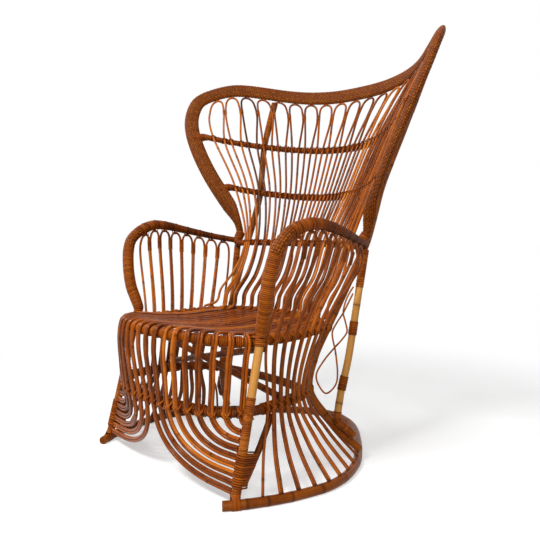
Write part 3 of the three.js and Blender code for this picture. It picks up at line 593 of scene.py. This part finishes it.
def rattan(name, stops, shade_and_node_colour=(34, 14, 6), streak=0.2, blotch=0.2, speckle=0.05, across=700.0,
           along=14.0, rough=(0.2, 0.36), coat=0.02):
    """Lacquered cane: tone from the piece, fibre streaks along it, blotches; the shade value paints
    shade into grooves and edges and darkens the rings at nodes.
    """
    material = bpy.data.materials.new(name)
    material.use_nodes = True
    tree = material.node_tree
    nodes, links = tree.nodes, tree.links
    shader = nodes["Principled BSDF"]

    def node(kind, **inputs):
        made = nodes.new(kind)
        for key, value in inputs.items():
            made.inputs[key].default_value = value
        return made

    def maths(operation, a, b):
        made = nodes.new("ShaderNodeMath")
        made.operation = operation
        links.new(a, made.inputs[0])
        if isinstance(b, float):
            made.inputs[1].default_value = b
        else:
            links.new(b, made.inputs[1])
        return made.outputs[0]

    def attribute(label, socket):
        made = nodes.new("ShaderNodeAttribute")
        made.attribute_name = label
        return made.outputs[socket]

    def noise(vector, scale, detail, roughness):
        made = node("ShaderNodeTexNoise", Scale=scale, Detail=detail, Roughness=roughness)
        links.new(vector, made.inputs["Vector"])
        return made.outputs["Fac"]

    grain = attribute("grain", "Vector")
    stretch = node("ShaderNodeMapping", Scale=(along, across, across))
    links.new(grain, stretch.inputs["Vector"])
    streaks = noise(stretch.outputs[0], 1.0, 4.0, 0.6)
    patches = noise(grain, PATCH_SCALE, 3.0, 0.55)
    pores = noise(grain, PORE_SCALE, 2.0, 0.7)
    tone = attribute("tone", "Fac")
    for texture, strength in ((streaks, streak), (patches, blotch), (pores, speckle)):
        shift = maths("MULTIPLY", maths("SUBTRACT", texture, 0.5), strength * 2)
        tone = maths("ADD", tone, shift)
    ramp = nodes.new("ShaderNodeValToRGB")
    elements = ramp.color_ramp.elements
    while len(elements) < len(stops):
        elements.new(0.5)
    for element, (place, colour) in zip(elements, stops):
        element.position = place
        element.color = linear(colour)
    links.new(tone, ramp.inputs["Fac"])
    # Painted shade: as the shade value falls, the ramp's colour goes over to the dark colour, which
    # also colours the rings at nodes.
    mix = nodes.new("ShaderNodeMix")
    mix.data_type = "RGBA"
    factor, _, _, _, _, _, dark, light = mix.inputs[:8]
    dark.default_value = linear(shade_and_node_colour)
    links.new(ramp.outputs["Color"], light)
    links.new(attribute("shade", "Fac"), factor)
    links.new(mix.outputs[2], shader.inputs["Base Color"])
    spread = maths("MULTIPLY", patches, rough[1] - rough[0])
    links.new(maths("ADD", spread, rough[0]), shader.inputs["Roughness"])
    relief = node("ShaderNodeBump", Strength=BUMP_STRENGTH, Distance=BUMP_DEPTH)
    links.new(streaks, relief.inputs["Height"])
    links.new(relief.outputs["Normal"], shader.inputs["Normal"])
    shader.inputs["Coat Weight"].default_value = coat
    shader.inputs["Coat Roughness"].default_value = COAT_ROUGHNESS
    shader.inputs["Coat Tint"].default_value = COAT_TINT
    shader.inputs["Specular IOR Level"].default_value = SPECULAR_LEVEL
    shader.inputs["Specular Tint"].default_value = SPECULAR_TINT
    return material


CANE = rattan("lacquered_cane", [
    (0.0, (46, 16, 4)), (0.22, (89, 37, 6)), (0.5, (151, 73, 12)), (0.75, (186, 105, 24)),
    (1.0, (206, 142, 48)),
], blotch=0.26, rough=(0.18, 0.32), coat=0.05)
STRIP = rattan("wound_cane", [
    (0.0, (73, 29, 4)), (0.3, (124, 55, 8)), (0.55, (162, 81, 13)), (0.8, (186, 106, 24)),
    (1.0, (202, 137, 46)),
], shade_and_node_colour=(35, 13, 2), streak=0.16, speckle=0.06, across=500.0, along=30.0, rough=(0.36, 0.56))
WEAVE = rattan("woven_cane", [
    (0.0, (74, 29, 4)), (0.3, (121, 54, 7)), (0.55, (150, 73, 12)), (0.8, (171, 100, 24)),
    (1.0, (188, 126, 45)),
], shade_and_node_colour=(37, 13, 2), streak=0.12, blotch=0.12, rough=(0.42, 0.6), coat=0.01)
POLE = rattan("bare_pole", [
    (0.0, (98, 56, 22)), (0.3, (152, 98, 44)), (0.6, (188, 132, 66)), (1.0, (208, 158, 92)),
], shade_and_node_colour=(66, 32, 10), streak=0.22, speckle=0.1, across=420.0, along=9.0, rough=(0.34, 0.52))
BROWN = rattan("brown_pole", [
    (0.0, (48, 20, 4)), (0.35, (97, 43, 8)), (0.65, (139, 71, 15)), (1.0, (172, 106, 33)),
], shade_and_node_colour=(27, 10, 3), blotch=0.34, speckle=0.12, across=420.0, along=9.0, rough=(0.26, 0.44),
    coat=0.03)

# Back hairpins
BACK_PAIRS = range(1, 10)
BACK_NAMES = ["back_hairpin_middle"] + [
    f"back_hairpin_{i}_{side}" for i in BACK_PAIRS for side in SIDES
]
OWN_TONES = {
    "back_hairpin_7_left": 0.14, "back_hairpin_4_left": 0.3, "back_hairpin_5_right": 0.28,
    "back_hairpin_1_right": 0.3, "back_hairpin_9_left": 0.62, "back_hairpin_8_left": 0.55,
    "back_hairpin_9_right": 0.56, "back_hairpin_3_right": 0.66,
}
BACK_SCALE = 1.08  # of the five-cornered CAD cane, whose sides lie inside the round
SKIRT_SCALE = 1.1
THINS_BETWEEN = (0.38, 0.46)  # heights, from the skirt's thickness to the back's
BACK_SPACING = 0.005
CANE_SIDES = 12
CANE_STEP = 0.006
BACK_GRAIN_SHIFT = 3.7  # from one cane to the next
BACK_SEED = 100
cane_tones = random.Random(7)
hairpins = {}
for index, name in enumerate(BACK_NAMES):
    way = route_way(name, CANE_CORNERS, BACK_SCALE, BACK_SPACING)
    way.r = way.r * np.interp(way.p[:, 2], THINS_BETWEEN, (SKIRT_SCALE, 1.0))
    tone = OWN_TONES.get(name, cane_tones.uniform(0.3, 0.56))
    skin = Skin()
    round_tube(skin, way, CANE_SIDES, CANE_STEP, tone, nodes_along(BACK_SEED + index, way.length),
               index * BACK_GRAIN_SHIFT)
    skin.object(f"{name}_cane", "cane", CANE, name)
    hairpins[name] = way

# Side hairpins and scrolls
SIDE_PAIRS = range(1, 9)
SIDE_SCALE = 1.34
SIDE_GRAIN_SHIFT = 2.3
SIDE_SEED = 300
SCROLL_TONE = 0.6
SCROLL_SIDES = 10
SCROLL_STEP = 0.004
SCROLL_SPACING = 0.003
SCROLL_SEED = 77
for i in SIDE_PAIRS:
    for side, sign in SIDES.items():
        name = f"side_hairpin_{i}_{side}"
        way = route_way(name, CANE_CORNERS, SIDE_SCALE)
        swell = nodes_along(SIDE_SEED + i * 2 + sign, way.length)
        skin = Skin()
        round_tube(skin, way, CANE_SIDES, CANE_STEP, cane_tones.uniform(0.3, 0.62), swell,
                   i * SIDE_GRAIN_SHIFT)
        skin.object(f"{name}_cane", "cane", CANE, name)
        hairpins[name] = way
for side in SIDES:
    name = f"side_scroll_{side}"
    way = route_way(name, CANE_CORNERS, 1.0, SCROLL_SPACING)
    skin = Skin()
    round_tube(skin, way, SCROLL_SIDES, SCROLL_STEP, SCROLL_TONE,
               nodes_along(SCROLL_SEED, way.length))
    skin.object(f"{name}_cane", "cane", CANE, name)

# Hoop, rings and poles
POLE_SCALE = 0.97
POLE_SIDES = 24
POLE_STEP = 0.004
POLE_NODE_GAP = (0.14, 0.3)
POLE_NODE_RISE = 0.035
POLE_NODE_WIDTH = 0.007
POLE_GRAIN_SHIFT = 0.9
HOOP_SCALE = 0.98
HOOP_SIDES = 28
HOOP_NODE_GAP = (0.05, 0.11)
RING_SCALE = 0.98
RING_PITCH = 0.0056
RING_CROWN = 0.1
RING_SEED = 12
WOUND_SIDES = 28
ways = {}


def pole(name, slot, material, tone, seed, scale=POLE_SCALE, sides=POLE_SIDES, gap=POLE_NODE_GAP):
    """A bare pole in place of its CAD node. Its path is kept in ways, low end first."""
    way = route_way(name, POLE_CORNERS, scale, low_first=True)
    skin = Skin()
    swell = nodes_along(seed, way.length, gap, POLE_NODE_RISE, POLE_NODE_WIDTH)
    round_tube(skin, way, sides, POLE_STEP, tone, swell, seed * POLE_GRAIN_SHIFT)
    skin.object(f"{name}_pole", slot, material, name)
    ways[name] = way


pole("base_hoop", "wrapped_pole", BROWN, 0.5, 11, HOOP_SCALE, HOOP_SIDES, HOOP_NODE_GAP)
for name, slot, tone in (("seat_ring", "bare_pole", 0.4), ("waist_ring", "dark_pole", 0.2)):
    way = route_way(name, POLE_CORNERS, RING_SCALE)
    skin = Skin()
    wound(skin, way, 0, way.length, RING_PITCH, RING_CROWN, WOUND_SIDES, tone, RING_SEED)
    skin.object(f"{name}_wound", slot, STRIP, name)
    ways[name] = way

pole("front_stretcher", "bare_pole", BROWN, 0.4, 14)
pole("back_stretcher", "bare_pole", BROWN, 0.3, 15)
for number, side in enumerate(SIDES):
    pole(f"front_leg_{side}", "bare_pole", POLE, 0.62, 20 + number)
    pole(f"rear_post_{side}", "bare_pole", BROWN, 0.62, 22 + number)
    pole(f"rear_leg_{side}", "bare_pole", POLE, 0.66, 24 + number)
    pole(f"foot_brace_{side}", "dark_pole", BROWN, 0.36, 26 + number)

# Arms, wound but for a woven length at the front of the bend
ARM_WEAVE = (0.215, 0.285)
ARM_TONE = 0.5
# painted shade on the arm behind its bend: how far the tone falls, where, and how far it reaches
ARM_PAINTED_SHADE = 0.46
ARM_SHADE_PLACE = 0.53  # along the arm
ARM_SHADE_REACH = 0.17
ARM_PITCH = 0.0046
ARM_CROWN = 0.07
ARM_SIDES = 40


def arm_shaded_tone(s):
    """The arm's tone with painted shade: darker on top of the arm, behind the bend."""
    return ARM_TONE - ARM_PAINTED_SHADE * np.exp(-((s - ARM_SHADE_PLACE) / ARM_SHADE_REACH) ** 2)


def round_section(way):
    """The section of a round pole, as woven() asks for it."""
    def section(s):
        _, _, n, _, r = way.at(s)
        return n, r, r
    return section


for side in SIDES:
    name = f"arm_rail_{side}"
    way = route_way(name, POLE_CORNERS, POLE_SCALE, low_first=True)
    skin = Skin()
    for start, stop, seed in ((0, ARM_WEAVE[0], 31), (ARM_WEAVE[1], way.length, 32)):
        wound(skin, way, start, stop, ARM_PITCH, ARM_CROWN, ARM_SIDES, arm_shaded_tone, seed)
    woven(skin, way, *ARM_WEAVE, round_section(way), cell=0.0064, cells=14, lift=0.0022,
          tone=ARM_TONE, spread=0.16, seed=33)
    skin.object(f"{name}_wound", "wrapped_pole", STRIP, name)
    ways[name] = way

# Woven rim
RIM_SCALE = 0.985
rim_centres, rim_wide_ways, rim_halves = cad_ovals("back_rim", POLE_CORNERS)
rim_way = Way(rim_centres, rim_halves.mean(axis=1) * POLE_SCALE)


def along_rim(s, values):
    """Values given at the CAD rings of the rim, at the lengths s."""
    return np.stack([np.interp(s, rim_way.stations, column) for column in values.T], axis=-1)


def rim_section(s):
    wide, deep = along_rim(s, rim_halves * RIM_SCALE).T
    return along_rim(s, rim_wide_ways), wide, deep


skin = Skin()
woven(skin, rim_way, 0, rim_way.length, rim_section, cell=0.0066, cells=20, lift=0.0022, tone=0.5,
      spread=0.2, seed=3)
skin.object("back_rim_woven", "wrapped_pole", WEAVE, "back_rim")

# Wound rails, widened where they run into the rim
RAILS = ("upper_cross_rail", "middle_cross_rail", "arm_level_cross_rail")
RAIL_SCALE = 1.04
RAIL_PITCH = 0.0058
RAIL_CROWN = 0.12
RAIL_TONE = 0.34
RAIL_SEED = 41
FILLET = 0.045  # length of the widened end
FILLET_RISE = 0.55
FILLET_POWER = 4


def widened(length):
    """The factor on a rail's radius, for a rail of this length."""
    def factor(s):
        from_end = np.minimum(s, length - s)
        return 1 + FILLET_RISE * np.exp(-(from_end / FILLET) ** FILLET_POWER)
    return factor


for number, name in enumerate(RAILS):
    centres, radii = cad_route(name, POLE_CORNERS)
    inside_rim = [rim_way.spot(rim_way.nearest(end))[0] for end in (centres[0], centres[-1])]
    centres = np.vstack([inside_rim[0], centres, inside_rim[1]])
    way = Way(centres, radii.mean() * RAIL_SCALE)
    skin = Skin()
    wound(skin, way, 0, way.length, RAIL_PITCH, RAIL_CROWN, WOUND_SIDES, RAIL_TONE,
          RAIL_SEED + number, scale=widened(way.length))
    skin.object(f"{name}_wound", "wrapped_pole", STRIP, name)
    ways[name] = way

# Ties of the back's canes at the rails
RAIL_REACH = 0.022
RAIL_TIE = dict(turns=2, width=0.0042, thick=0.0015, spare=0.0)
ties = random.Random(21)
skin = Skin()
for name in BACK_NAMES:
    for rail in RAILS:
        for s_cane, s_pole in crossings(hairpins[name], ways[rail], RAIL_REACH):
            lash(skin, ways[rail], s_pole, hairpins[name], s_cane, ties.uniform(0.16, 0.4), ties,
                 **RAIL_TIE)
skin.object("rail_ties", "cane", STRIP)

# Bindings at the necks of the arches
ARCHES_ABOVE = 0.96
BACK_NECK = dict(length=0.017, crown=0.16, spare=0.0007)
SIDE_NECK = dict(length=0.036, crown=0.24, spare=0.0014)
SIDE_NECK_GAP = 0.0078  # centre to centre, where side hairpins run together
SIDE_NECK_START = 0.001  # from the top of the neck to its binding
SIDE_NECK_SEED = 20


def distances(first, second):
    return np.linalg.norm(first[:, None] - second[None], axis=2)


def lower(way, index, down):
    """The length along a path that lies this far down from one of its points."""
    return way.s[index] + down * (1 if way.t[index, 2] < 0 else -1)


skin = Skin()
for side in SIDES:
    for i in BACK_PAIRS:
        inner = hairpins["back_hairpin_middle" if i == 1 else f"back_hairpin_{i - 1}_{side}"]
        outer = hairpins[f"back_hairpin_{i}_{side}"]
        inner_high, outer_high = (np.where(w.p[:, 2] > ARCHES_ABOVE)[0] for w in (inner, outer))
        gap = distances(inner.p[inner_high], outer.p[outer_high])
        a, b = np.unravel_index(gap.argmin(), gap.shape)
        sleeve(skin, inner, inner.s[inner_high[a]], outer, outer.s[outer_high[b]],
               tone=ties.uniform(0.3, 0.55), seed=i, **BACK_NECK)
for side in SIDES:
    for i in SIDE_PAIRS[:-1]:
        first, second = (hairpins[f"side_hairpin_{k}_{side}"] for k in (i, i + 1))
        gap = distances(first.p, second.p)
        joined = np.where(gap.min(axis=1) < SIDE_NECK_GAP)[0]
        neck = joined[first.p[joined, 2].argmax()]
        down = SIDE_NECK["length"] / 2 + SIDE_NECK_START
        s_first = lower(first, neck, down)
        s_second = lower(second, gap[neck].argmin(), down)
        sleeve(skin, first, s_first, second, s_second, tone=ties.uniform(0.2, 0.5),
               seed=SIDE_NECK_SEED + i, **SIDE_NECK)
skin.object("neck_bindings", "cane", STRIP)

# Ties that hang the side arches under the arms
ARM_TIE = dict(turns=2, width=0.0034, thick=0.0006, spare=0.001)
skin = Skin()
for side in SIDES:
    arm = ways[f"arm_rail_{side}"]
    for i in SIDE_PAIRS:
        cane = hairpins[f"side_hairpin_{i}_{side}"]
        top = cane.p[:, 2].argmax()
        lash(skin, arm, arm.nearest(cane.p[top]), cane, cane.s[top], ties.uniform(0.1, 0.3), ties,
             **ARM_TIE)
skin.object("arm_ties", "cane", STRIP)

# Knots where canes pass the rings and the hoop
RINGS_BELOW = 0.45  # a height between the rings and all that the canes pass above them
RING_REACH = 0.026
HOOP_REACH = 0.03
KNOTS = {
    "seat_ring": dict(turns=4, width=0.0044),
    "waist_ring": dict(turns=4, width=0.0036),
    "base_hoop": dict(turns=2, width=0.0034),
}
skin = Skin()
for ring, knot in KNOTS.items():
    reach = HOOP_REACH if ring == "base_hoop" else RING_REACH
    for name, cane in hairpins.items():
        if name.startswith("back") and ring != "waist_ring":
            continue
        for s_cane, s_pole in crossings(cane, ways[ring], reach, RINGS_BELOW):
            lash(skin, ways[ring], s_pole, cane, s_cane, ties.uniform(0.34, 0.62), ties,
                 thick=0.0018, spare=0.0003, **knot)
skin.object("ring_knots", "cane", STRIP)

# Lumps wound on the seat ring between the canes that roll over it
LUMP_GAP = (0.012, 0.05)  # between crossings that get a lump
LUMP_SHARE = 0.3  # of the gap, on each side of its middle
LUMP_SCALE = 1.26
LUMP_PITCH = 0.0044
LUMP_CROWN = 0.14
LUMP_SIDES = 20
ring = ways["seat_ring"]
places = sorted(s_pole for name in BACK_NAMES
                for _, s_pole in crossings(hairpins[name], ring, RING_REACH, RINGS_BELOW))
skin = Skin()
for low, high in zip(places, places[1:]):
    if LUMP_GAP[0] < high - low < LUMP_GAP[1]:
        middle, half = (low + high) / 2, (high - low) * LUMP_SHARE
        wound(skin, ring, middle - half, middle + half, LUMP_PITCH, LUMP_CROWN, LUMP_SIDES,
              ties.uniform(0.34, 0.6), int(low * 1000), scale=LUMP_SCALE)
skin.object("seat_ring_lumps", "cane", STRIP)

# Knots where poles pass each other, and loops that tie the front feet to the hoop
POLE_REACH = 0.04
POLE_KNOT = dict(turns=4, width=0.0048, thick=0.0012, spare=-0.002)
FOOT_LOOP = dict(width=0.0046, thick=0.0016)
FOOT_STEP = 0.0045
FOOT_LEAN = 0.001  # more for each loop
FOOT_HEIGHT = 0.004
skin = Skin()
hoop = ways["base_hoop"]
for side in SIDES:
    for upright in ("front_leg", "rear_post", "rear_leg", "foot_brace"):
        way = ways[f"{upright}_{side}"]
        for ring in KNOTS:
            for s_cane, s_pole in crossings(way, ways[ring], POLE_REACH):
                lash(skin, ways[ring], s_pole, way, s_cane, ties.uniform(0.4, 0.7), ties,
                     **POLE_KNOT)
    foot, _, foot_radius = ways[f"front_leg_{side}"].spot(FOOT_HEIGHT)
    s_hoop = hoop.nearest(foot)
    for k in range(-2, 3):
        p, t, hoop_radius = hoop.spot(s_hoop + k * FOOT_STEP)
        toward = square_to(foot - p, t)
        reach = float(np.linalg.norm(toward))
        half_chord = math.sqrt(foot_radius ** 2 - (k * FOOT_STEP) ** 2)
        strip_loop(skin, p, t, toward, [(0.0, hoop_radius), (reach, half_chord)], k * FOOT_LEAN,
                   tone=ties.uniform(0.3, 0.55), **FOOT_LOOP)
skin.object("pole_knots", "wrapped_pole", STRIP)

# Windings on the poles
WINDING_CROWN = 0.12
LEG_WINDING_SCALE = 1.12
WINDINGS = (
    # pole, start (below 0 from its end), stop (None for its end), scale, pitch, tone, seed
    ("front_leg", 0.0, 0.225, LEG_WINDING_SCALE, 0.005, 0.5, 61),
    ("front_leg", 0.345, None, 1.3, 0.0046, 0.5, 62),
    ("rear_post", -0.14, None, 1.1, 0.0046, 0.52, 63),
    ("rear_post", 0.035, 0.11, 1.08, 0.0044, 0.42, 64),
    ("rear_leg", 0.0, 0.085, 1.14, 0.0044, 0.45, 65),
    ("rear_leg", 0.143, 0.182, 1.24, 0.0044, 0.42, 66),
    ("rear_leg", 0.298, 0.336, 1.24, 0.0044, 0.42, 69),
    ("rear_leg", 0.432, None, 1.14, 0.0044, 0.5, 67),
    ("foot_brace", 0.0, 0.05, 1.12, 0.0044, 0.45, 68),
)
number = 0
for side in SIDES:
    for upright, start, stop, scale, pitch, tone, seed in WINDINGS:
        number += 1
        way = ways[f"{upright}_{side}"]
        start = start if start >= 0 else way.length + start
        stop = stop or way.length
        skin = Skin()
        wound(skin, way, start, stop, pitch, WINDING_CROWN, WOUND_SIDES, tone, seed, scale=scale)
        skin.object(f"winding_{number}", "wrapped_pole", STRIP)

# Bands that bind each front leg, over its winding, to its brace
BAND_COUNT = 15
BAND_FIRST = 0.024
BAND_STEP = 0.0052
BAND = dict(lean=0.001, width=0.0042, thick=0.0018, lift=0.0006)
skin = Skin()
for side in SIDES:
    leg, brace = ways[f"front_leg_{side}"], ways[f"foot_brace_{side}"]
    for k in range(BAND_COUNT):
        p, t, leg_radius = leg.spot(BAND_FIRST + k * BAND_STEP)
        q, _, brace_radius = brace.spot(brace.nearest(p))
        toward = square_to(q - p, t)
        reach = float(np.linalg.norm(toward))
        discs = [(0.0, leg_radius * LEG_WINDING_SCALE), (reach, brace_radius)]
        strip_loop(skin, p, t, toward, discs, tone=ties.uniform(0.22, 0.62), **BAND)
skin.object("leg_bands", "wrapped_pole", STRIP)

# World and floor
WORLD_COLOUR = (1.0, 0.985, 0.96, 1)
WORLD_STRENGTH = 0.16
FLOOR_HALF_SIZE = 14.0
FLOOR_COLOUR = (0.62, 0.62, 0.62, 1)
FLOOR_GLOW = 0.5  # lifts the floor that is seen near the chair to nearly white
FLOOR_FADE = (0.9, 1.8)  # from the floor with the shadow to plain white


def seen_direct(tree):
    """1 for what is seen direct, in gloss or through glass, else 0."""
    path = tree.nodes.new("ShaderNodeLightPath")
    total = path.outputs["Is Camera Ray"]
    for socket in ("Is Glossy Ray", "Is Transmission Ray"):
        add = tree.nodes.new("ShaderNodeMath")
        add.operation = "ADD"
        add.use_clamp = True
        tree.links.new(total, add.inputs[0])
        tree.links.new(path.outputs[socket], add.inputs[1])
        total = add.outputs[0]
    return total


def mixed(tree, factor, first, second):
    made = tree.nodes.new("ShaderNodeMixShader")
    for source, socket in zip((factor, first, second), made.inputs):
        tree.links.new(source, socket)
    return made.outputs[0]


def emitter(tree, kind, strength, colour=(1, 1, 1, 1)):
    """The output of a background or emission node."""
    made = tree.nodes.new(kind)
    made.inputs["Color"].default_value = colour
    made.inputs["Strength"].default_value = strength
    return made.outputs[0]


def studio_world():
    """White where it is seen, and a weak warm light all round."""
    world = bpy.data.worlds.new("studio")
    world.use_nodes = True
    tree = world.node_tree
    tree.nodes.clear()
    around = emitter(tree, "ShaderNodeBackground", WORLD_STRENGTH, WORLD_COLOUR)
    seen = emitter(tree, "ShaderNodeBackground", 1.0)
    output = tree.nodes.new("ShaderNodeOutputWorld")
    tree.links.new(mixed(tree, seen_direct(tree), around, seen), output.inputs[0])
    return world


def floor_material():
    """Pale floor that keeps the chair's shadow and fades to white away from it."""
    material = bpy.data.materials.new("pale_floor")
    material.use_nodes = True
    tree = material.node_tree
    tree.nodes.clear()
    diffuse = tree.nodes.new("ShaderNodeBsdfDiffuse")
    diffuse.inputs["Color"].default_value = FLOOR_COLOUR
    lifted = tree.nodes.new("ShaderNodeAddShader")
    tree.links.new(diffuse.outputs[0], lifted.inputs[0])
    tree.links.new(emitter(tree, "ShaderNodeEmission", FLOOR_GLOW), lifted.inputs[1])
    white = emitter(tree, "ShaderNodeEmission", 1.0)
    place = tree.nodes.new("ShaderNodeTexCoord")
    reach = tree.nodes.new("ShaderNodeVectorMath")
    reach.operation = "LENGTH"
    tree.links.new(place.outputs["Object"], reach.inputs[0])
    fade = tree.nodes.new("ShaderNodeMapRange")
    fade.interpolation_type = "SMOOTHSTEP"
    fade.inputs["From Min"].default_value, fade.inputs["From Max"].default_value = FLOOR_FADE
    tree.links.new(reach.outputs["Value"], fade.inputs["Value"])
    direct = seen_direct(tree)
    near_look = mixed(tree, direct, diffuse.outputs[0], lifted.outputs[0])
    far_look = mixed(tree, direct, diffuse.outputs[0], white)
    output = tree.nodes.new("ShaderNodeOutputMaterial")
    tree.links.new(mixed(tree, fade.outputs[0], near_look, far_look), output.inputs[0])
    return material


def studio_floor():
    mesh = bpy.data.meshes.new("floor")
    corners = [(x * FLOOR_HALF_SIZE, y * FLOOR_HALF_SIZE, 0)
               for x, y in ((-1, -1), (1, -1), (1, 1), (-1, 1))]
    mesh.from_pydata(corners, [], [(0, 1, 2, 3)])
    mesh.materials.append(floor_material())
    floor = bpy.data.objects.new("floor", mesh)
    bpy.context.scene.collection.objects.link(floor)


bpy.context.scene.world = studio_world()
studio_floor()

# Lamps
LAMPS = (
    # name, place, size, power
    ("key", (0.5, -2.9, 3.6), 1.1, 162),
    ("side", (-2.6, -1.4, 2.4), 1.4, 38),
    ("fill", (2.4, -1.6, 2.0), 1.2, 42),
)
LAMP_TARGET = np.array([0, 0, 0.5])
for name, place, size, power in LAMPS:
    data = bpy.data.lights.new(name, "AREA")
    data.shape = "DISK"
    data.size = size
    data.energy = power
    lamp = bpy.data.objects.new(name, data)
    lamp.location = place
    x, y, z = LAMP_TARGET - place
    lamp.rotation_euler = (math.atan2(math.hypot(x, y), -z), 0, math.atan2(y, x) - math.pi / 2)
    bpy.context.scene.collection.objects.link(lamp)

# Camera
camera_data = bpy.data.cameras.new("camera")
camera_data.lens = 41.13
camera_data.sensor_width = 36
camera_data.shift_y = -0.0778
camera_data.clip_start = 0.05
camera = bpy.data.objects.new("camera", camera_data)
camera.location = (1.40859, -1.25262, 0.64336)
camera.rotation_euler = (math.radians(90), 0, math.radians(48.2))
bpy.context.scene.collection.objects.link(camera)
bpy.context.scene.camera = camera
bpy.context.scene.view_settings.view_transform = "Standard"
